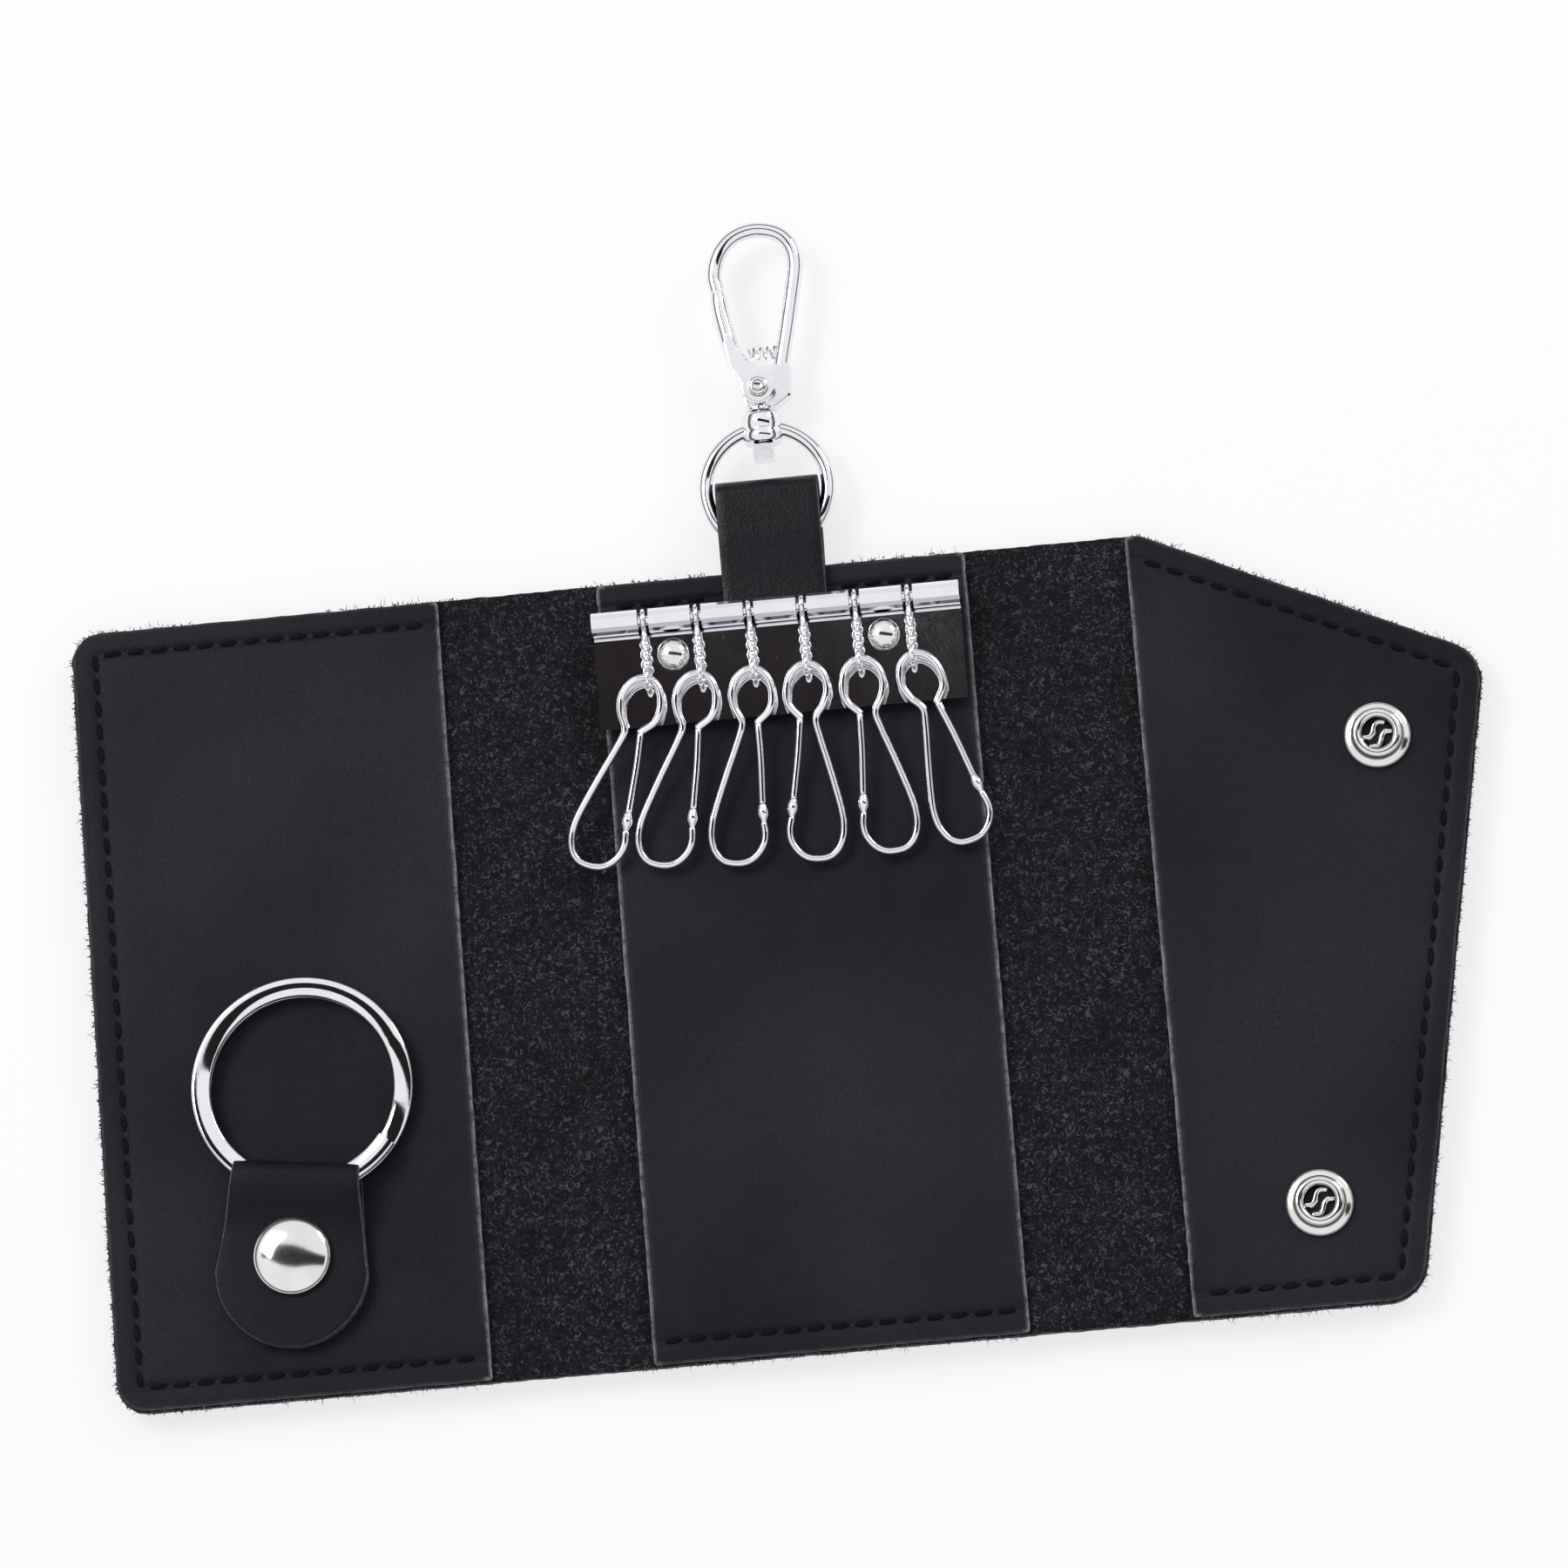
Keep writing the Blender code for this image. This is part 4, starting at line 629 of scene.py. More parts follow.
leather = {
    "ripples": ((0.031, 3.1, 0.00009), (0.012, 7.7, 0.00003)),    # length, seed, height
    "crownRise": 0.004, "crownReach": 0.03,                       # from the seam inward
    "ragged": ((650, 0.0001), (2100, 0.00008)),                   # rate and depth along the cut edge
    "raggedReach": 0.0004,
    "stripSoft": 0.0004, "stripReach": 0.0042,
    "grooveFall": 2.2,
    "facing": 0.45,                                               # share of the thickness from the middle
}


def ripple(x, y):
    waves = leather["ripples"]
    return sum(high * noise.noise(Vector((x / long, y / long, seed))) for long, seed, high in waves)


# gives a flat panel its ripples, its stitch groove and the crown inside the seam; returns the edge wear
def shapePanel(bm, low, high, outline, runs, look):
    flat = np.array([vert.co[:2] for vert in bm.verts])
    edge = leastDistance(flat, [list(outline) + [outline[0]]])
    seam = leastDistance(flat, runs)
    groove = look["grooveDepth"] * np.exp(-((seam / look["grooveWidth"]) ** 2) * leather["grooveFall"])
    rise = np.clip((edge - look["seamFromEdge"]) / leather["crownRise"], 0, 1)
    crown = look["crown"] * rise * rise * (3 - 2 * rise) * (seam < leather["crownReach"])
    middle = (low + high) / 2
    for vert, change, away in zip(bm.verts, crown - groove, edge):
        wave = ripple(vert.co.x, vert.co.y)
        onTop = vert.co.z > middle
        facing = abs(vert.co.z - middle) > (high - low) * leather["facing"]
        if facing and onTop == look["faceUp"]:
            wave += change if onTop else -change
        vert.co.z += wave
        if away < leather["raggedReach"]:
            for axis in (0, 1):
                shift = Vector((5 * axis, 5, 5))
                rough = [deep * noise.noise(vert.co * rate + shift) for rate, deep in leather["ragged"]]
                vert.co[axis] += sum(rough)
    near = np.clip(1 - edge / look["wearWidth"], 0, 1) ** 2
    strip = np.clip((look["seamFromEdge"] - edge) / leather["stripSoft"], 0, 1)
    strip = strip * (seam < leather["stripReach"])    # the darker strip outside the seam, below zero
    return near - look["strip"] * strip * (1 - near)


def evenSteps(low, high, step):
    count = max(1, round((high - low) / step))
    return [low + (high - low) * k / count for k in range(1, count)]


def pathSpots(path, pitch):
    lengths = [0]
    for start, end in zip(path, path[1:]):
        lengths.append(lengths[-1] + (Vector(end) - Vector(start)).length)
    count = int(lengths[-1] / pitch)
    spare = (lengths[-1] - count * pitch) / 2
    spots = []
    for number in range(count):
        goal = spare + pitch * (number + 0.5)
        index = max(k for k in range(len(path) - 1) if lengths[k] <= goal)
        start, end = Vector(path[index]).to_2d(), Vector(path[index + 1]).to_2d()
        way = (end - start).normalized()
        spots.append((start + way * (goal - lengths[index]), way))
    return spots


# one rounded stitch for each pair of holes, dipping into the leather at both ends
def addStitches(bm, path, height, up, look):
    for spot, way in pathSpots(path, look["pitch"]):
        lean = Vector((-way.y, way.x)) * look["lean"]
        uneven = noise.noise(Vector((spot.x * look["unevenRate"], spot.y * look["unevenRate"], 1)))
        reach = look["length"] / 2 * (1 + look["uneven"] * uneven)
        wave = ripple(spot.x, spot.y)
        points, swells = [], []
        for share in look["shares"]:
            flat = spot + way * reach * share + lean * share
            sink = look["sink"] + look["dip"] * abs(share) ** 3
            points.append(Vector((flat.x, flat.y, height + wave - up * sink)))
            swells.append(1 - look["taper"] * abs(share) ** 2)
        addTube(bm, points, look["thread"], sides=8, swells=swells)


# case leather: one hide cut into six pieces at the folds

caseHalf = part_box("back_cover")[1][1]
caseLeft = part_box("front_cover")[0][0]
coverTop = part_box("back_cover")[1][2]
frontHinges = [joints[name].x for name in ("front_fold", "front_fold_b", "front_fold_c")]
flapHinges = [joints[name].x for name in ("flap_fold", "flap_fold_b", "flap_fold_c")]
caseShape = {
    "corners": [
        (caseLeft, -caseHalf),
        (flapHinges[2] + 0.0348, -caseHalf),
        (flapHinges[2] + 0.0521, caseHalf - 0.0222),
        (flapHinges[2] + 0.0042, caseHalf),
        (caseLeft, caseHalf),
    ],
    "radii": (0.0045, 0.006, 0.006, 0.003, 0.0045),
    "seamFromEdge": 0.0036,
    "grooveWidth": 0.0008,
    "grooveDepth": 0.00032,
    "crown": 0.00026,
    "wearWidth": 0.0007,
    "strip": 0.4,
    "faceUp": False,
    "grid": 0.0014,
    "rings": (0.0085, 0.006, 0.0048, 0.0043, 0.0040, 0.0037, 0.0034, 0.0031, 0.0027, 0.002, 0.0011,
              0.0006, 0.0003),
    "plainRuns": ((-0.1032, -0.0485), (-0.0265, 0.0265), (0.0535, 0.1013)),
    "foldRuns": ((-0.0485, 0.00075, 29), (0.0265, 0.0008, 34)),    # start, step, count
    "frontHalfStrip": 0.003,
    "flapHalfStrip": 0.00479,
    "bendHalf": 0.0023,
    "creaseHalf": 0.0014,
    "creaseOuter": 0.00045,
    "creaseInner": 0.0001,
}
liningEnds = {
    "front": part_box("front_lining")[1][0],
    "backLeft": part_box("back_lining")[0][0],
    "backRight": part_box("back_lining")[1][0],
    "flap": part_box("flap_lining")[0][0],
}
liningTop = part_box("back_lining")[1][2]


# the stitched lines, a given depth inside the edge of the case
def seamRuns(depth, shift=0.0):
    loop = edgeLoop(caseShape["corners"], caseShape["radii"], depth)
    per = len(loop) // len(caseShape["corners"])
    corner = [loop[k * per:(k + 1) * per] for k in range(len(caseShape["corners"]))]
    height = caseHalf - depth
    frontEnd, flapEnd = liningEnds["front"] - shift, liningEnds["flap"] + shift
    backEnds = (liningEnds["backLeft"] + shift, liningEnds["backRight"] - shift)
    front = [Vector((frontEnd, height))] + corner[4] + corner[0] + [Vector((frontEnd, -height))]
    flap = [Vector((flapEnd, -height))] + corner[1] + corner[2] + corner[3]
    if corner[3][-1].x > flapEnd:
        flap.append(Vector((flapEnd, height)))
    back = [[Vector((end, side * height)) for end in backEnds] for side in (-1, 1)]
    return {"front": [front], "flap": [flap], "back": back}


# every bend has a soft crease, deeper on the outer face
def pressCreases(bm, hinges):
    look = caseShape
    for vert in bm.verts:
        share = min(max(vert.co.z / coverTop, 0), 1)
        depth = look["creaseOuter"] + (look["creaseInner"] - look["creaseOuter"]) * share
        bends = [math.exp(-((vert.co.x - hinge) / look["creaseHalf"]) ** 2) for hinge in hinges]
        vert.co.z += depth * sum(bends)


def shapeHide(bm, cuts):
    look = caseShape
    addPanel(bm, look["corners"], look["radii"], 0, coverTop, look["rings"])
    xs = list(cuts)
    for plain, fold in zip(look["plainRuns"], look["foldRuns"] + ((0, 0, 0),)):
        start, step, count = fold
        xs += evenSteps(*plain, look["grid"]) + [k * step + start for k in range(count)]
    dice(bm, xs, evenSteps(-caseHalf, caseHalf, look["grid"]))
    runs = [run for group in seamRuns(look["seamFromEdge"]).values() for run in group]
    wear = shapePanel(bm, 0, coverTop, edgeLoop(look["corners"], look["radii"], 0), runs, look)
    layer = bm.verts.layers.float.new("edgeWear")
    for vert, value in zip(bm.verts, wear):
        vert[layer] = value
    pressCreases(bm, frontHinges + flapHinges)
    bmesh.ops.recalc_face_normals(bm, faces=bm.faces)


def makeHide():
    reach = caseShape["bendHalf"]
    frontA, frontB = [hinge - caseShape["frontHalfStrip"] for hinge in frontHinges[:2]]
    flapA, flapB = [hinge + caseShape["flapHalfStrip"] for hinge in flapHinges[:2]]
    folds = (
        ("backLeatherLeft", frontA, 0, ("back", "front_strip_a"), frontHinges[0], -reach,
         ("back_cover", "front_fold_a")),
        ("frontFoldLeather", frontB, frontA, ("front_strip_a", "front_strip_b"), frontHinges[1], -reach,
         ("front_fold_b",)),
        ("frontLeather", -1, frontB, ("front_strip_b", "front"), frontHinges[2], -reach,
         ("front_cover",)),
        ("backLeatherRight", 0, flapA, ("back", "flap_strip_a"), flapHinges[0], reach,
         ("back_cover", "flap_fold_a")),
        ("flapFoldLeather", flapA, flapB, ("flap_strip_a", "flap_strip_b"), flapHinges[1], reach,
         ("flap_fold_b",)),
        ("flapLeather", flapB, 1, ("flap_strip_b", "flap"), flapHinges[2], reach,
         ("flap_cover",)),
    )
    hide = bmesh.new()
    shapeHide(hide, (0, frontA, frontB, flapA, flapB))
    for name, low, high, bodies, hinge, side, replaced in folds:
        cut = hide.copy()
        away = [face for face in cut.faces if not low < face.calc_center_median().x < high]
        bmesh.ops.delete(cut, geom=away, context="FACES")
        bend = (*bodies, (hinge - side, 0, 0), (hinge + side, 0, 0))
        place(name, cut, ("suede", "edge", "outer"), bend, "outer_leather", replaced, smooth=None)
    hide.free()


makeHide()
print("case leather made")

# linings, sewn on inside

liningShape = {
    "inset": 0.0003,
    "gap": 0.00004,           # over the case leather
    "seamFromEdge": 0.0033,
    "grooveWidth": 0.00085,
    "grooveDepth": 0.00034,
    "crown": 0.0001,
    "wearWidth": 0.00085,
    "freeEnd": 0.0012,        # only the free ends are rubbed, the sewn edges hardly
    "sewnWear": 0.14,
    "strip": 0.12,
    "faceUp": True,
    "rings": (0.0075, 0.0053, 0.0044, 0.0039, 0.0036, 0.0033, 0.0030, 0.0027, 0.0022, 0.0014, 0.0007, 0.0003),
    "seamRows": (-0.0007, -0.0003, 0, 0.0003, 0.0007),
    "frontRadii": (0.0042, 0.0006, 0.0006, 0.0042),
    "backRadii": (0.0006, 0.0006, 0.0006, 0.0006),
    "flapRadii": (0.0006, 0.0057, 0.0057, 0.0015, 0.0004),
}
liningRuns = seamRuns(liningShape["seamFromEdge"] + liningShape["inset"])


def makeLining(body, corners):
    look = liningShape
    radii, low = look[body + "Radii"], coverTop + look["gap"]
    bm = bmesh.new()
    addPanel(bm, corners, radii, low, liningTop, look["rings"])
    xs, ys = [[corner[axis] for corner in corners] for axis in (0, 1)]
    line, grid = caseHalf - look["seamFromEdge"], caseShape["grid"]
    rows = [sign * (line + shift) for sign in (-1, 1) for shift in look["seamRows"]]
    dice(bm, evenSteps(min(xs), max(xs), grid), evenSteps(min(ys), max(ys), grid) + rows)
    wear = shapePanel(bm, low, liningTop, edgeLoop(corners, radii, 0), liningRuns[body], look)
    ends = [min(abs(vert.co.x - end) for end in liningEnds.values()) for vert in bm.verts]
    wear = np.where((np.array(ends) < look["freeEnd"]) | (wear < 0), wear, wear * look["sewnWear"])
    place(body + "LiningSheet", bm, ("lining", "edge", "suede"), body, "lining_leather",
          (body + "_lining",), wear=wear)


def rectangle(left, right, halfHeight):
    return [(left, -halfHeight), (right, -halfHeight), (right, halfHeight), (left, halfHeight)]


def makeLinings():
    inset = liningShape["inset"]
    high = caseHalf - inset
    makeLining("front", rectangle(caseLeft + inset, liningEnds["front"], high))
    makeLining("back", rectangle(liningEnds["backLeft"], liningEnds["backRight"], high))
    end = liningEnds["flap"] - inset
    flap = [(end, -caseHalf)] + caseShape["corners"][1:4] + [(end, caseHalf)]
    makeLining("flap", insetCorners(flap, inset))


makeLinings()
print("linings made")

# stitches on both faces

seam = {
    "pitch": 0.0034,
    "length": 0.0023,
    "thread": 0.00052,
    "sink": 0.00026,
    "dip": 0.00022,
    "lean": 0.00014,
    "uneven": 0.06,
    "unevenRate": 700,
    "taper": 0.28,
    "shares": (-1, -0.82, -0.5, 0, 0.5, 0.82, 1),
    "endGap": 0.0008,
    "inGroove": 0.45,         # share of the groove's depth
    "strapGap": 0.0082,       # half of the seam that the strap covers
}


def makeSeams():
    top = seamRuns(liningShape["seamFromEdge"] + liningShape["inset"], seam["endGap"])
    under = seamRuns(caseShape["seamFromEdge"], seam["endGap"])
    for body in ("front", "back", "flap"):
        bm = bmesh.new()
        for path in top[body]:
            pieces = [path]
            if body == "back" and path[0].y > 0:
                ends = [Vector((side * seam["strapGap"], path[0].y)) for side in (-1, 1)]
                pieces = [[path[0], ends[0]], [ends[1], path[1]]]
            for run in pieces:
                addStitches(bm, run, liningTop - liningShape["grooveDepth"] * seam["inGroove"], 1, seam)
        for path in under[body]:
            addStitches(bm, path, caseShape["grooveDepth"] * seam["inGroove"], -1, seam)
        place(body + "Stitches", bm, ("thread",), body, "outer_leather")


makeSeams()
print("stitches sewn")

# folded bands: strap and tab

bandEdge = {"share": 0.24, "inward": 0.35, "down": 0.3}    # of the thickness, and of the edge itself


# looks: 0 outside, 1 cut edge, 2 inside of the fold
def addBand(bm, stations, halfWidths, thickness, columns, matrix=None):
    loops = []
    edge, wall = thickness * bandEdge["share"], thickness / 2
    inward, down, flank = edge * bandEdge["inward"], wall - edge * bandEdge["down"], wall - edge
    last = len(stations) - 1
    for index, (along, height) in enumerate(stations):
        way = Vector(stations[min(index + 1, last)]) - Vector(stations[max(index - 1, 0)])
        out = Vector((way.y, -way.x)).normalized()
        half = halfWidths[index]
        flat = [-half + edge + (2 * half - 2 * edge) * k / columns for k in range(columns + 1)]
        ring = [(-half, -flank), (-half, flank), (-half + inward, down)]
        ring += [(u, wall) for u in flat]
        ring += [(half - inward, down), (half, flank), (half, -flank), (half - inward, -down)]
        ring += [(u, -wall) for u in reversed(flat)]
        ring += [(-half + inward, -down)]
        spots = [Vector((u, along + out.x * n, height + out.y * n)) for u, n in ring]
        loops.append([bm.verts.new(matrix @ spot if matrix else spot) for spot in spots])
    size = len(loops[0])
    for near, far in zip(loops, loops[1:]):
        for index in range(size):
            after = (index + 1) % size
            face = bm.faces.new((near[index], near[after], far[after], far[index]))
            onSide = index < 3 or columns + 3 <= index < columns + 7 or index == size - 1
            face.material_index = 1 if onSide else 0 if index < columns + 4 else 2
    for ring in (loops[0], loops[-1]):
        bm.faces.new(ring).material_index = 1


# the half turn of a fold, from its lower layer to its upper one
def halfTurn(along, height, radius, steps=12):
    turns = [math.pi * k / steps for k in range(steps + 1)]
    return [(along + radius * math.sin(turn), height - radius * math.cos(turn)) for turn in turns]


strapShape = {
    "halfWidth": (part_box("strap_loop")[1][0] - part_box("strap_loop")[0][0]) / 2,
    "thickness": 0.001,
    "root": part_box("strap_tail")[0][1],
    "low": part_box("strap_tail")[0][2] + 0.0005,
    "high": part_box("strap_tail")[1][2] - 0.0005,
    "wrap": 0.00185,
    "foldPastRing": 0.00125,
    "bend": (0.0555, 0.0605),    # where it turns from the case to the ring
    # how far along, and how far above the layer on the case or beside the ring
    "underCase": ((0.045, 0), (0.0535, 0), (0.0575, -0.00035)),
    "underRing": ((0.0612, 0.0001), (0.0650, 0)),
    "overRing": ((0.0650, 0), (0.0612, -0.00015)),
    "overCase": ((0.0575, 0.0003), (0.0535, 0.00003), (0.045, 0)),
}


def makeStrap():
    look = strapShape
    ring, wrap, low, high = joints["ring_turn"], look["wrap"], look["low"], look["high"]
    tip = ring.y + look["foldPastRing"] - wrap - look["thickness"] / 2
    under = [(look["root"], low)] + [(along, low + up) for along, up in look["underCase"]]
    under += [(along, ring.z - wrap + up) for along, up in look["underRing"]]
    over = [(along, ring.z + wrap + up) for along, up in look["overRing"]]
    over += [(along, high + up) for along, up in look["overCase"]] + [(look["root"], high)]
    path = [spot.to_2d() for spot in smoothPath(under + halfTurn(tip, ring.z, wrap) + over, 4)]
    bm = bmesh.new()
    addBand(bm, path, [look["halfWidth"]] * len(path), look["thickness"], 12)
    start, end = [(0, along, 0) for along in look["bend"]]
    place("strapBand", bm, ("strap", "edge", "suede"), ("back", "strap", start, end), "strap_leather",
          ("strap_tail", "strap_loop"))


makeStrap()

tabShape = {
    "thickness": 0.0009,
    "low": 0.0028,
    "roundRadius": 0.011,
    "roundDrop": 0.002,
    "foldHalf": 0.009,
    "foldReach": 0.0136,
    "foldRadius": 0.00195,
    "layerGap": 0.0003,
    "turn": -7.0,
    "bend": (0.0052, 0.0098),
    "taper": 0.8,
    "tipHalf": 0.0009,
    "tipTurns": range(4, 91, 7),    # degrees round the free end
    "under": (0.0, 0.003, 0.006, 0.0085),
    "overFold": ((0.0100, -0.0001), (0.0085, -0.0006)),    # reach, and height from the fold's top
    "overBase": ((0.0066, 0.0011), (0.0048, 0.00035), (0.003, 0.00005), (0.0, 0)),    # and from the layer
}
tabAxis = joints["tab_turn"]
tabTurn = Matrix.Rotation(math.radians(tabShape["turn"]), 4, "Z")
tabFrame = Matrix.Translation((tabAxis.x, tabAxis.y, 0)) @ tabTurn


def tabHalf(reach):
    look = tabShape
    if reach < -look["roundDrop"]:
        under = look["roundRadius"] ** 2 - (reach + look["roundDrop"]) ** 2
        return max(math.sqrt(max(under, 0)), look["tipHalf"])
    share = min((reach + look["roundDrop"]) / (look["foldReach"] + look["roundDrop"]), 1)
    return look["roundRadius"] + (look["foldHalf"] - look["roundRadius"]) * share ** look["taper"]


def makeTab():
    look = tabShape
    foot = -look["roundDrop"] - look["roundRadius"]
    low, bend = look["low"] + look["thickness"] / 2, look["foldRadius"]
    middle, centre = look["foldReach"] - bend - look["thickness"] / 2, low + bend
    top = low + look["thickness"] + look["layerGap"]
    turns = [math.radians(angle) for angle in look["tipTurns"]]
    rounding = [foot + look["roundRadius"] * (1 - math.cos(turn)) for turn in turns]
    under = [(reach, low) for reach in (*rounding, *look["under"])]
    over = [(reach, centre + bend + up) for reach, up in look["overFold"]]
    over += [(reach, top + up) for reach, up in look["overBase"]]
    over += [(reach, top) for reach in reversed(rounding)]
    path = [spot.to_2d() for spot in smoothPath(under + halfTurn(middle, centre, bend) + over, 3)]
    bm = bmesh.new()
    addBand(bm, path, [tabHalf(spot.x) for spot in path], look["thickness"], 14, tabFrame)
    start, end = [tabFrame @ Vector((0, along, 0)) for along in look["bend"]]
    place("tabBand", bm, ("lining", "edge", "suede"), ("tab", "tab_end", start, end), "lining_leather",
          ("tab_base", "tab_loop"))


makeTab()
print("strap and tab made")

# turned fittings


# where a fitting's own solid stands
def standing(node):
    low, high = [Vector(corner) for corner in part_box(node)]
    return ((low.x + high.x) / 2, (low.y + high.y) / 2, 0)


capLook = {
    "radius": 0.0057, "low": 0.0052, "top": 0.007, "hem": (0.9, 0.00005), "post": 0.0012, "postLow": 0.0018,
    "dome": ((0.18, 0.995), (0.36, 0.965), (0.54, 0.9), (0.7, 0.78), (0.82, 0.64), (0.9, 0.52), (0.955, 0.38),
             (0.99, 0.22), (1, 0.1), (0.985, 0)),
}


def makeCap():
    look = capLook
    r, low, rise = look["radius"], look["low"], look["top"] - look["low"]
    profile = [(axisGap, look["top"])] + [(r * a, low + rise * b) for a, b in look["dome"]]
    hem, under = look["hem"]
    profile += [(r * hem, low - under), (look["post"], low), (look["post"], look["postLow"])]
    bm = bmesh.new()
    addTurned(bm, profile, (tabAxis.x, tabAxis.y, 0))
    place("tabCapDome", bm, ("nickel",), "front", "nickel", ("tab_cap",), smooth=50)


makeCap()

socketLook = {
    "radius": 0.0049, "low": 0.0028, "top": 0.0051, "hole": 0.0023, "post": 0.0011, "postLow": 0.0018,
    "well": ((-0.0001, 0.2), (0, 0.3), (0, 0.82)),    # past the hole's edge, share of the height
    "lip": ((0, 0.82), (0.0001, 0.92), (0.0003, 0.985), (0.0006, 1)),
    "rim": ((0.66, 0.985), (0.71, 0.93), (0.745, 0.8), (0.76, 0.55), (0.785, 0.42), (0.83, 0.38),
            (0.89, 0.36), (0.95, 0.3), (0.985, 0.2), (1, 0.08)),    # shares of radius and height
    "hem": (0.985, 0.0001),
    "springWire": 0.00054, "springHeight": 0.0006, "springGap": 0.00094, "springWave": 0.0005,
    "springTurn": 35.0, "springReach": 0.82, "springShares": (-1, -0.6, -0.2, 0.2, 0.6, 1),
}


def makeSocket(number):
    look = socketLook
    node = "flap_socket_%d" % number
    centre = standing(node)
    r, hole, base, rise = look["radius"], look["hole"], look["low"], look["top"] - look["low"]
    well = [(axisGap, base + rise * look["well"][0][1])]
    well += [(hole + past, base + rise * b) for past, b in look["well"]]
    profile = [(hole + past, base + rise * b) for past, b in look["lip"]]
    profile += [(r * a, base + rise * b) for a, b in look["rim"]]
    hem, under = look["hem"]
    profile += [(r * hem, base - under), (look["post"], base - under), (look["post"], look["postLow"])]
    bm = bmesh.new()
    # the well inside the cup gets the dark metal: painted shade
    addTurned(bm, well, centre, look=1)
    addTurned(bm, profile, centre)
    # two wavy spring wires, clear of the stud that snaps in above them
    lean, height = math.radians(look["springTurn"]), base + look["springHeight"]
    x, y = math.cos(lean), math.sin(lean)
    for side in (-1, 1):
        spring = []
        for share in look["springShares"]:
            along = share * hole * look["springReach"]
            over = look["springWave"] * math.sin(math.pi * share) + side * look["springGap"]
            spring.append((centre[0] + along * x - over * y, centre[1] + along * y + over * x, height))
        addTube(bm, smoothPath(spring), look["springWire"], sides=10)
    place("flapSocketCup%d" % number, bm, ("nickel", "shade"), "flap", "nickel", (node,), smooth=45)


# radius and height, from the post in the leather out to the neck; the tip's heights start at the solid's foot
studLook = {
    "profile": ((0.0011, 0.0011), (0.0011, -0.0002), (0.0040, -0.0002), (0.0042, -0.00035),
                (0.0042, -0.0005), (0.00405, -0.00068), (0.0036, -0.00078), (0.0024, -0.0008),
                (0.00165, -0.00086), (0.00138, -0.00105), (0.00136, -0.0012), (0.0015, -0.0014),
                (0.0017, -0.00155)),
    "tip": ((0.00168, 0.00035), (0.0015, 0.0001), (0.0011, 0), (axisGap, 0)),
}


def makeStud(number):
    node = "front_stud_%d" % number
    centre, base = standing(node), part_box(node)[0][2]
    profile = [(axisGap, studLook["profile"][0][1]), *studLook["profile"]]
    profile += [(radius, base + up) for radius, up in studLook["tip"]]
    bm = bmesh.new()
    addTurned(bm, profile, centre, steps=48)
    place("frontStudCap%d" % number, bm, ("nickel",), "front", "nickel", (node,), smooth=45)


rivetLook = {
    "radius": 0.0023, "height": 0.0014, "post": 0.0012, "postLow": 0.0017, "hem": (0.97, 0.0001),
    # share of the radius, drop from the top
    "dome": ((0.25, 0.00003), (0.5, 0.00015), (0.72, 0.0004), (0.88, 0.00075), (0.97, 0.0011)),
}


def makeRivet(number):
    look = rivetLook
    node = "rail_rivet_%d" % number
    centre, top = standing(node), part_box(node)[1][2]
    r, base = look["radius"], top - look["height"]
    profile = [(axisGap, top)] + [(r * share, top - drop) for share, drop in look["dome"]]
    hem, rise = look["hem"]
    profile += [(r, base + rise), (r * hem, base), (look["post"], base), (look["post"], look["postLow"])]
    bm = bmesh.new()
    addTurned(bm, profile, centre, steps=40)
    place("railRivetHead%d" % number, bm, ("nickel",), "back", "nickel", (node,), smooth=50)


for number in (1, 2):
    makeSocket(number)
    makeStud(number)
    makeRivet(number)
print("snaps and rivets turned")

# links, hooks and latches

linkLook = {
    "wire": 0.0004, "topLoop": 0.00145, "lowLoop": 0.00135, "loopSteps": 28,
    "bead": 0.00075, "waist": 0.00045, "beads": 3, "beadStart": -0.0029, "waistStart": 0.0001,
    "beadShape": ((0.15, 0.8), (0.35, 1.0), (0.65, 1.0), (0.85, 0.8), (1.0, 0.6)),    # along, swell
}


def makeLink(number):
    look = linkLook
    rod, eye = joints["link_swing_%d" % number], joints["hook_swing_%d" % number]
    length = (eye - rod).length
    tilt = math.atan2(eye.z - rod.z, rod.y - eye.y)
    matrix = Matrix.Translation(rod) @ Matrix.Rotation(-tilt, 4, "X")
    bm = bmesh.new()
    for radius, along in ((look["topLoop"], 0), (look["lowLoop"], -length)):
        ring = [(0, along + y, z) for y, z in circle(look["loopSteps"], radius)]
        addTube(bm, ring, look["wire"], sides=10, closed=True, matrix=matrix)
    start, end = -look["topLoop"] - look["waistStart"], -length + look["lowLoop"]
    points, swells = [(0, start, 0), (0, look["beadStart"], 0)], [look["waist"]] * 2
    run = (look["beadStart"] - end) / look["beads"]
    for bead in range(look["beads"]):
        for share, swell in look["beadShape"]:
            points.append((0, look["beadStart"] - run * (bead + share), 0))
            swells.append(look["bead"] * swell)
    addTube(bm, points, 1.0, sides=14, swells=swells, matrix=matrix, upright=(1, 0, 0), roundEnds=False)
    place("beadedLink%d" % number, bm, ("chrome",), "link_%d" % number, "chrome",
          ("hook_link_%d" % number,), smooth=55)


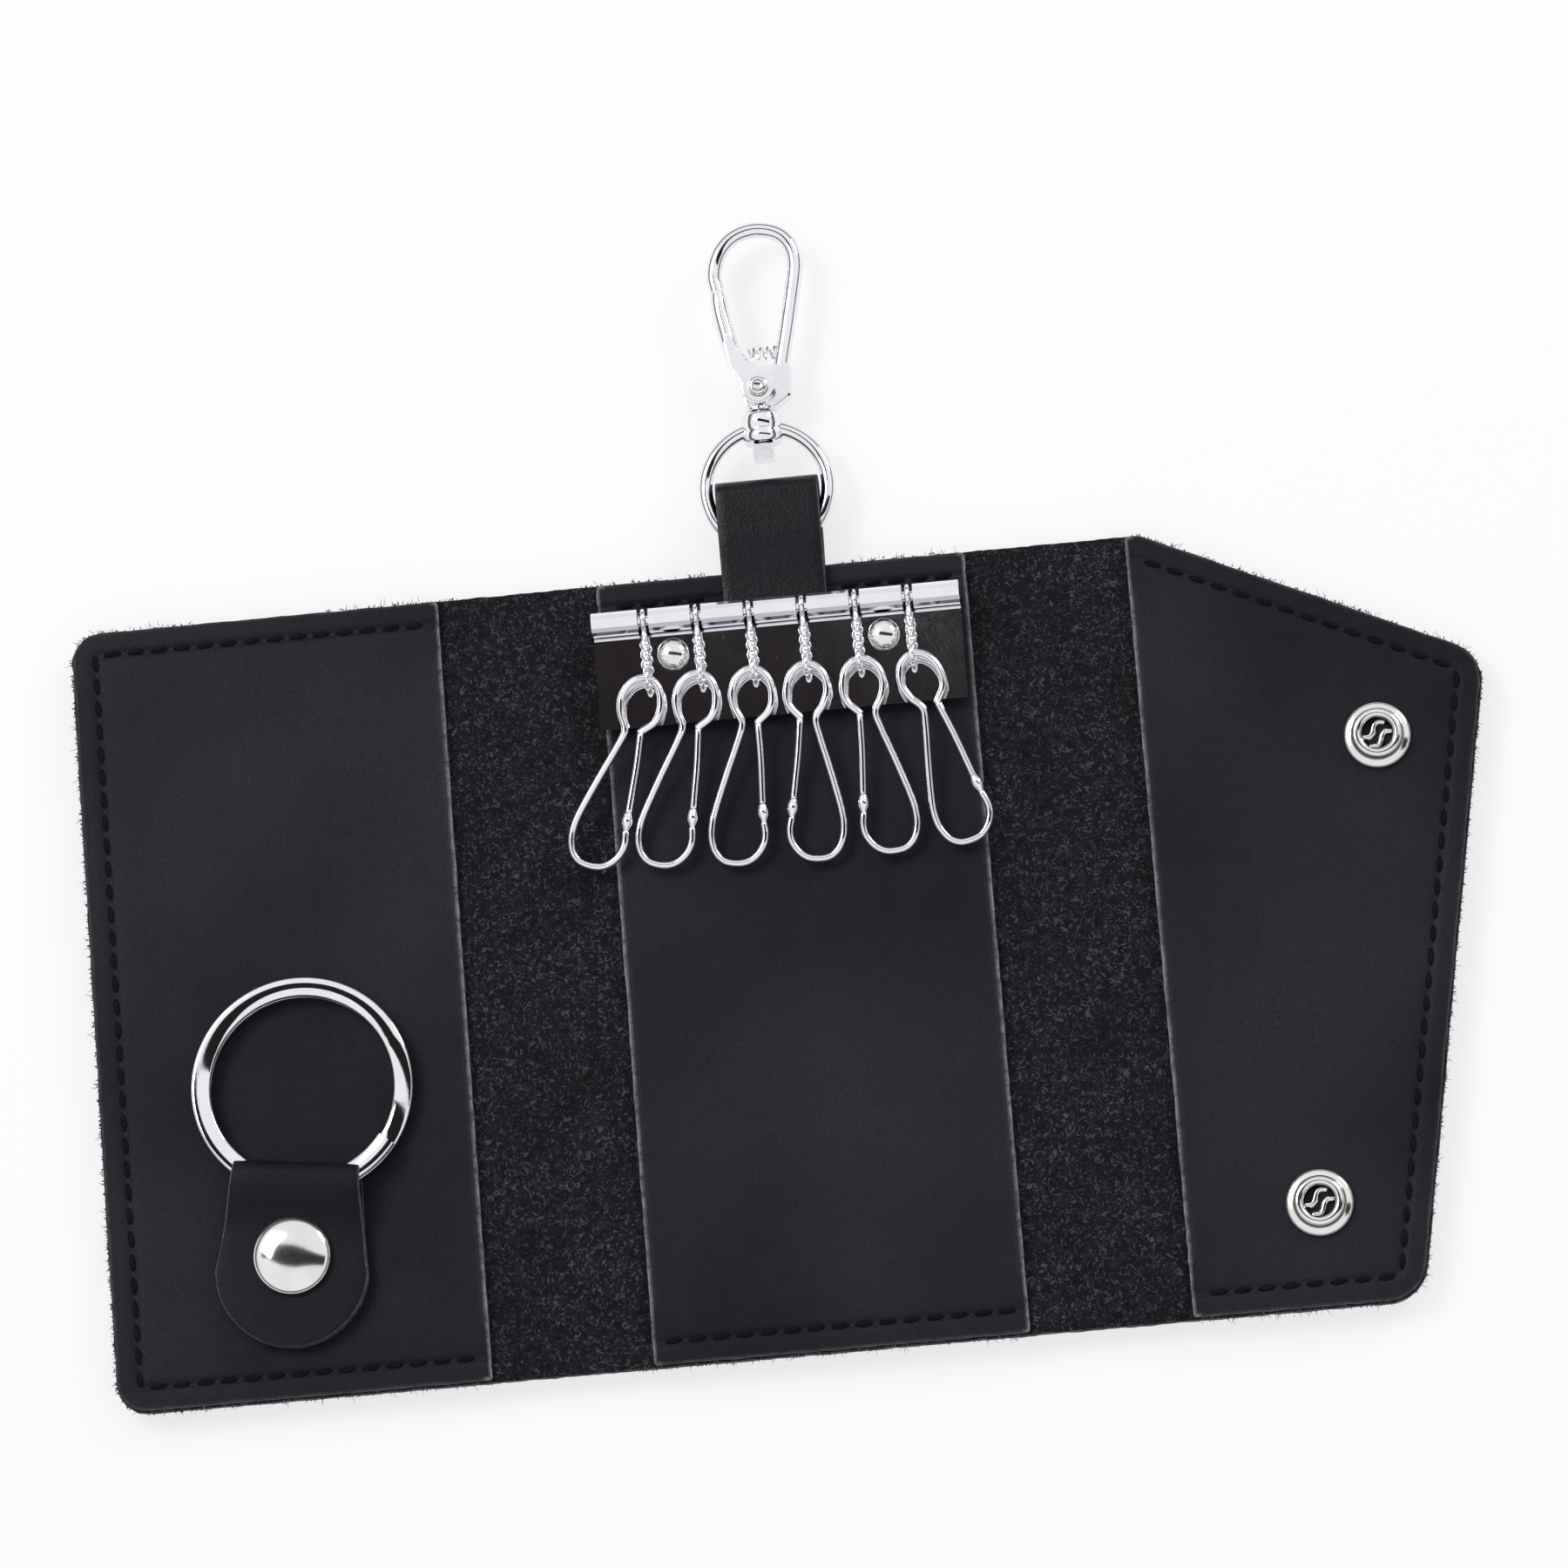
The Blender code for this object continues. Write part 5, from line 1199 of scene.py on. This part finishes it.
hookLook = {    # outlines in shares of the half width and the length, from the eye down
    "wire": 0.00055, "length": 0.0288, "half": 0.005, "slope": 5.2,
    "fans": (-20.5, -15.5, -8.5, -2.5, 4.5, 14.0), "flips": (1, 1, 1, -1, -1, 1),
    "outline": ((0.24, 0.268), (0.56, 0.20), (0.60, 0.125), (0.48, 0.055), (0.24, 0.01), (0, 0),
                (-0.24, 0.01), (-0.48, 0.055), (-0.58, 0.13), (-0.46, 0.205), (-0.22, 0.275),
                (-0.30, 0.36), (-0.56, 0.53), (-0.80, 0.70), (-0.89, 0.79), (-0.87, 0.87),
                (-0.72, 0.935), (-0.47, 0.972), (-0.15, 0.981), (0.17, 0.972), (0.44, 0.938),
                (0.62, 0.885), (0.66, 0.83), (0.60, 0.775)),
    "collar": ((0.585, 0.755), (0.557, 0.72), (0.53, 0.69)), "swell": 1.6,
    "latchPivot": (0.25, 0.285), "latchFoot": (0.525, 0.678), "latchWire": 0.97, "latchBow": 0.00012,
}


def makeHook(number):
    look = hookLook
    flip = look["flips"][number - 1]
    fan = Matrix.Rotation(math.radians(look["fans"][number - 1]), 4, "Z")
    slope = Matrix.Rotation(math.radians(look["slope"]), 4, "X")
    matrix = Matrix.Translation(joints["hook_swing_%d" % number]) @ fan @ slope
    upright = (0, 0, 1)

    def spot(share):
        return Vector((flip * share[0] * look["half"], -share[1] * look["length"], 0))

    bm = bmesh.new()
    wire = smoothPath([spot(share) for share in look["outline"]])
    addTube(bm, wire, look["wire"], matrix=matrix, upright=upright)
    collar = smoothPath([spot(share) for share in look["collar"]], 3)
    last, grow = len(collar) - 1, look["swell"] - 1
    swells = [1 + grow * min(1, 4 * k / last, 1.5 * (1 - k / last) + 0.5) for k in range(last + 1)]
    addTube(bm, collar, look["wire"], sides=14, swells=swells, matrix=matrix, upright=upright)
    place("keyHookWire%d" % number, bm, ("chrome",), "hook_%d" % number, "chrome",
          ("key_hook_%d" % number,), smooth=60)
    bm = bmesh.new()
    start, end = spot(look["latchPivot"]), spot(look["latchFoot"])
    way = (end - start).normalized()
    bow = Vector((-way.y, way.x, 0)) * look["latchBow"]
    latch = smoothPath([start, start.lerp(end, 0.4) + bow, start.lerp(end, 0.75) + bow * 0.5, end])
    addTube(bm, latch, look["wire"] * look["latchWire"], matrix=matrix, upright=upright)
    place("latchWire%d" % number, bm, ("chrome",), "latch_%d" % number, "chrome",
          ("hook_latch_%d" % number,), smooth=60)


for number in range(1, 7):
    makeLink(number)
    makeHook(number)
print("key hooks hung")

# split ring

splitLook = {
    "line": 0.0146,
    "band": 0.0028,
    "turn": 0.00095,
    "gap": 0.00042,
    "crown": 0.00016,
    "corner": 0.00034,
    "jog": 30.0,        # degrees on each side, where the band climbs to its second turn
    "perTurn": 120,
    "flatShares": (-0.6, -0.36, -0.12, 0.12, 0.36, 0.6),
}


# the band's section: a flat strip with round corners and crowned faces
def splitSection():
    look = splitLook
    wide, thick, corner = look["band"] / 2, look["turn"] / 2, look["corner"]
    profile = []
    for signA, signB in ((1, 1), (-1, 1), (-1, -1), (1, -1)):
        for k in range(5):
            turn = math.pi / 2 * k / 4
            a, b = math.sin(turn), math.cos(turn)
            if signA * signB < 0:
                a, b = b, a
            profile.append((signA * (thick - corner + corner * a), signB * (wide - corner + corner * b)))
    profile += [(sign * thick, b * wide) for sign in (1, -1) for b in look["flatShares"]]
    crowned = [(a + math.copysign(look["crown"], a) * (1 - (b / wide) ** 2), b) for a, b in profile]
    return sorted(crowned, key=lambda spot: math.atan2(spot[1], spot[0] * 3))


def makeSplitRing():
    look = splitLook
    row = jointRows["key_ring_turn"]
    axis = Vector(row["axis"]).normalized()
    out = Vector((0, 1, 0))
    out.rotate(Matrix.Rotation(math.radians(tabShape["turn"]), 3, "Z"))
    side = out.cross(axis).normalized()
    ahead = axis.cross(side).normalized()
    matrix = Matrix.Translation(row["pos_m"]) @ Matrix((side, ahead, axis)).transposed().to_4x4()
    lift = (look["turn"] + look["gap"]) / 2
    first, last = look["jog"], 720 - look["jog"]
    count = round((last - first) / 360 * look["perTurn"])
    points = []
    for step in range(count + 1):
        angle = first + (last - first) * step / count
        share = min(max((angle - 360 + look["jog"]) / (2 * look["jog"]), 0), 1)
        climb = share * share * (3 - 2 * share)
        turn = math.radians(angle)
        x, y = look["line"] * math.cos(turn), look["line"] * math.sin(turn)
        points.append((x, y, -lift + 2 * lift * climb))
    bm = bmesh.new()
    addTube(bm, points, 1.0, profile=splitSection(), upright=(0, 0, 1), matrix=matrix, roundEnds=False)
    place("splitRingBand", bm, ("chrome",), "key_ring", "chrome", ("split_ring",), smooth=50)


makeSplitRing()
print("split ring wound")

# swivel ring and clasp

alongY = Matrix.Rotation(math.radians(-90), 4, "X")    # turns a lathe's Z into +Y
ringLook = {
    "radius": 0.01, "wire": 0.00105, "ringSteps": 96,
    "bossRadius": 0.0029, "bossStart": 0.0066, "bossLength": 0.0044,
    "boreGap": 0.00035, "chamfer": 0.0003, "mouth": 0.0002,
    # how far in from the boss's side, and down from its end or up from its start
    "topRound": ((0.0007, 0), (0.0002, 0.00015), (0, 0.0005)),
    "groove": ((0, 0.0022), (0.00012, 0.0020), (0.00012, 0.0017), (0, 0.0015), (0, 0.0004), (0.0003, 0)),
}


def makeSwivelRing():
    look = ringLook
    centre = joints["ring_turn"]
    bm = bmesh.new()
    ring = [centre + Vector((x, y, 0)) for x, y in circle(look["ringSteps"], look["radius"] - look["wire"])]
    addTube(bm, ring, look["wire"], sides=20, closed=True, upright=(0, 0, 1))
    start, r = look["bossStart"], look["bossRadius"]
    end, bore = start + look["bossLength"], look["wire"] + look["boreGap"]
    profile = [(bore, start + look["chamfer"]), (bore, end - look["chamfer"]), (bore + look["mouth"], end)]
    profile += [(r - inward, end - down) for inward, down in look["topRound"]]
    profile += [(r - inward, start + up) for inward, up in look["groove"]]
    profile += [(bore + look["mouth"], start), profile[0]]
    addTurned(bm, profile, matrix=Matrix.Translation(centre) @ alongY, steps=48)
    place("swivelRingWire", bm, ("chrome",), "ring", "chrome", ("swivel_ring",), smooth=45)


plateRound = ((1.3, 0), (1, 0), (0.3, 0.3), (0, 1))    # how far in and how far down, in widths of the edge


# a flat piece with rounded edges, from an outline whose corners turn left
def addPlate(bm, outline, low, high, matrix, edge):
    rings = [(edge * inward, high - edge * down) for inward, down in plateRound]
    rings += [(depth, low + high - height) for depth, height in reversed(rings)]
    loops = []
    for depth, height in rings:
        loop = insetCorners(outline, depth)
        loops.append([bm.verts.new(matrix @ spot.to_3d() + Vector((0, 0, height))) for spot in loop])
    stitchLoops(bm, loops)
    for ring in (loops[0], loops[-1]):
        bm.faces.new(ring)


claspLook = {    # outlines in shares of the half width and the reach, from the gate's pin
    "half": 0.0078, "reach": 0.0253, "wire": 0.00115,
    "bow": ((-0.40, 0.03), (-0.45, 0.14), (-0.60, 0.34), (-0.74, 0.54), (-0.838, 0.69),
            (-0.853, 0.755), (-0.822, 0.815), (-0.74, 0.87), (-0.60, 0.915), (-0.40, 0.943),
            (-0.16, 0.9545), (0.08, 0.945), (0.29, 0.917), (0.455, 0.873), (0.58, 0.815),
            (0.655, 0.75), (0.68, 0.685), (0.641, 0.609)),
    "foot": ((-0.64, 0.145), (-0.05, 0.128), (0.3, -0.05), (0.27, -0.125), (-0.3, -0.125), (-0.6, -0.06)),
    "footRadius": 0.0009, "footEdge": 0.00028, "footStep": 2e-5,
    "tongue": 0.0023, "knuckle": 0.0026, "pinBore": 0.0011,
    "knuckleRound": ((0.0003, 0), (0.0001, 0.0001), (0, 0.0003)),
    "stem": 0.0011, "stemFoot": 0.0003, "stemRound": 0.0002, "stemTop": -0.0013, "neck": 0.0012,
    "collarTop": -0.0028,
    "collar": ((0.0021, -0.0006), (0.0023, -0.00045), (0.0023, -0.00015), (0.0021, 0), (0.0015, 0.0001),
               (0.0013, 0.0006)),
    "pinHead": 0.00145, "pinTop": 0.0025, "pinRise": 0.0006, "pinShank": 0.0008,
    "pinShape": ((0.38, 0.72), (0.46, 0.8), (0.52, 0.98), (0.62, 1), (0.8, 0.9), (0.94, 0.6), (1, 0.3),
                 (1, 0.08), (0.97, 0)),
    "gateFoot": 0.0025, "footTurn": (160, 270), "footSteps": 26, "cheek": 0.00072, "cheekEdge": 0.00022,
    "cheekSide": ((-0.02, 0.125), (0.20, 0.165), (0.33, 0.235), (0.42, 0.315), (0.52, 0.335),
                  (0.585, 0.28), (0.50, 0.125)),
    "arm": 0.00122, "armSwell": 0.12, "armTip": (0.96, 0.86),
    "armLine": ((0.24, 0.13), (0.38, 0.19), (0.475, 0.275), (0.535, 0.365), (0.60, 0.48), (0.634, 0.594)),
}
gateAxis = joints["gate_swing"]


def claspSpot(share):
    return Vector((-share[0] * claspLook["half"], share[1] * claspLook["reach"], 0))


def makeClaspFrame():
    look = claspLook
    bm = bmesh.new()
    bow = [gateAxis + point for point in smoothPath([claspSpot(share) for share in look["bow"]], 6)]
    addTube(bm, bow, look["wire"], sides=20, upright=(0, 0, 1), roundEnds=False)
    corners = [claspSpot(share).to_2d() for share in look["foot"]]
    outline = roundedLoop(corners, [look["footRadius"]] * len(corners), steps=5)
    outline = [spot for k, spot in enumerate(outline) if (spot - outline[k - 1]).length > look["footStep"]]
    wide = look["tongue"] / 2
    addPlate(bm, outline, -wide, wide, Matrix.Translation(gateAxis), look["footEdge"])
    side = [(look["pinBore"], wide)]
    side += [(look["knuckle"] - inward, wide - down) for inward, down in look["knuckleRound"]]
    addTurned(bm, side + [(radius, -height) for radius, height in reversed(side)], centre=gateAxis, steps=48)
    stem, foot, corner = look["stem"], look["stemFoot"], look["stemRound"]
    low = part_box("clasp_body")[0][1] - gateAxis.y
    collar = [(radius, look["collarTop"] + up) for radius, up in look["collar"]]
    profile = [(foot, low), (stem - corner, low), (stem, low + corner), (stem, collar[0][1])]
    profile += collar + [(look["neck"], look["stemTop"])]
    addTurned(bm, profile, matrix=Matrix.Translation(gateAxis) @ alongY, steps=40)
    place("claspFrame", bm, ("chrome",), "clasp", "chrome", ("clasp_body",), smooth=42)


def makeGatePin():
    look = claspLook
    r, top, rise = look["pinHead"], look["pinTop"], look["pinRise"]
    side = [(axisGap, top + rise * look["pinShape"][0][1])]
    side += [(r * a, top + rise * b) for a, b in look["pinShape"]]
    side.append((look["pinShank"], top))
    bm = bmesh.new()
    addTurned(bm, side + [(radius, -height) for radius, height in reversed(side)], centre=gateAxis, steps=48)
    place("gatePinHeads", bm, ("nickel",), "clasp", "chrome", ("gate_pin",), smooth=45)


# two cheeks on the pin, and the arm that closes the hook
def makeGate():
    look = claspLook
    begin, sweep = look["footTurn"]
    turns = [math.radians(begin + sweep * k / look["footSteps"]) for k in range(look["footSteps"] + 1)]
    cheek = [Vector((look["gateFoot"] * math.cos(turn), look["gateFoot"] * math.sin(turn))) for turn in turns]
    cheek += [claspSpot(share).to_2d() for share in look["cheekSide"]]
    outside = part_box("clasp_gate")[1][2] - gateAxis.z
    bm = bmesh.new()
    for low in (-outside, outside - look["cheek"]):
        addPlate(bm, cheek, low, low + look["cheek"], Matrix.Translation(gateAxis), look["cheekEdge"])
    arm = [gateAxis + point for point in smoothPath([claspSpot(share) for share in look["armLine"]])]
    swells = [1 + look["armSwell"] * (1 - k / (len(arm) - 1)) for k in range(len(arm))]
    swells[-2:] = look["armTip"]
    addTube(bm, arm, look["arm"], sides=20, swells=swells, upright=(0, 0, 1), roundEnds=False)
    place("gateLever", bm, ("chrome",), "gate", "chrome", ("clasp_gate",), smooth=42)


makeSwivelRing()
makeClaspFrame()
makeGatePin()
makeGate()
print("clasp made")

# fibres along the cut edges

fuzz = {
    "seed": 11,
    "count": 2300,
    "tufts": 0.72,
    "tuft": (0.00018, 0.0005),
    "tuftThickness": 0.00012,
    "hair": (0.0004, 0.0012),
    "hairThickness": 0.00005,
    "rooted": 0.0001,
    "fromFace": 0.0001,
    "lowest": 0.00005,                  # above the case's underside
    "lean": 0.9,
    "curl": 0.5,
    "swells": (1, 0.9, 0.65, 0.25),
    "strapHalf": 0.0095,                # none where the strap lies, also against the folded front
    "strapPlaces": (0.0, -0.0751),
    "foldMargin": 0.003,                # none on the leather that bends
}


def edgeBody(x):
    margin = fuzz["foldMargin"]
    if x < frontHinges[2] - margin:
        return "front"
    if x > flapHinges[2] + margin:
        return "flap"
    return "back" if frontHinges[0] + margin < x < flapHinges[0] - margin else None


def makeFuzz():
    rng = np.random.default_rng(fuzz["seed"])
    outline = edgeLoop(caseShape["corners"], caseShape["radii"], 0)
    outline.append(outline[0])
    lengths = np.cumsum([0] + [(b - a).length for a, b in zip(outline, outline[1:])])
    meshes = {body: bmesh.new() for body in ("front", "back", "flap")}
    for number in range(fuzz["count"]):
        goal = rng.uniform(0, lengths[-1])
        index = max(int(np.searchsorted(lengths, goal)) - 1, 0)
        a, b = outline[index], outline[index + 1]
        way = (b - a).normalized()
        out = Vector((way.y, -way.x, 0))
        spot = (a + way * (goal - lengths[index])).to_3d() - out * fuzz["rooted"]
        kind = "tuft" if rng.uniform(0, 1) < fuzz["tufts"] else "hair"
        spot.z = rng.uniform(fuzz["fromFace"], liningTop - fuzz["fromFace"])
        length = rng.uniform(*fuzz[kind])
        lean = Vector(rng.uniform(-1, 1, 3)) * fuzz["lean"]
        curl = Vector(rng.uniform(-1, 1, 3)) * fuzz["curl"]
        body = edgeBody(spot.x)
        near = [abs(spot.x - middle) < fuzz["strapHalf"] for middle in fuzz["strapPlaces"]]
        if body is None or (spot.y > 0 and any(near)):
            continue
        heading = (out + lean).normalized()
        points = [spot + heading * length * k / 3 + curl * length * (k / 3) ** 2 * 0.5 for k in range(4)]
        points = [Vector((point.x, point.y, max(point.z, fuzz["lowest"]))) for point in points]
        thickness = fuzz[kind + "Thickness"]
        addTube(meshes[body], points, thickness, sides=4, swells=fuzz["swells"], roundEnds=False)
    for body, bm in meshes.items():
        place(body + "EdgeFibres", bm, ("edge",), body, "outer_leather")


makeFuzz()
print("edge fibres drawn")

# the rail and the square head again, with their edges softened

softened = (    # name, solid, body, width of the soft edge
    ("hookRailPlate", "hook_rail", "back", 0.0001),
    ("swivelHeadBlock", "swivel_head", "clasp", 0.0003),
)


def softenEdges(name, node, body, width):
    mesh = bpy.data.objects[node].data.copy()
    mesh.name = name
    mesh.materials.clear()
    mesh.materials.append(finishes["chrome"])
    piece = addObject(name, mesh)
    bevel = piece.modifiers.new("softEdges", "BEVEL")
    bevel.width = width
    bevel.segments = 3
    bevel.limit_method = "ANGLE"
    bevel.angle_limit = math.radians(38)
    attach(piece, body)
    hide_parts(node)


for row in softened:
    softenEdges(*row)

# solids that keep their shape get the same chrome

for node in ("rail_rod", "gate_spring"):
    solid = bpy.data.objects[node]
    if not solid.material_slots:
        solid.data.materials.append(finishes["chrome"])
    for materialSlot in solid.material_slots:
        materialSlot.material = finishes["chrome"]
print("fittings finished")
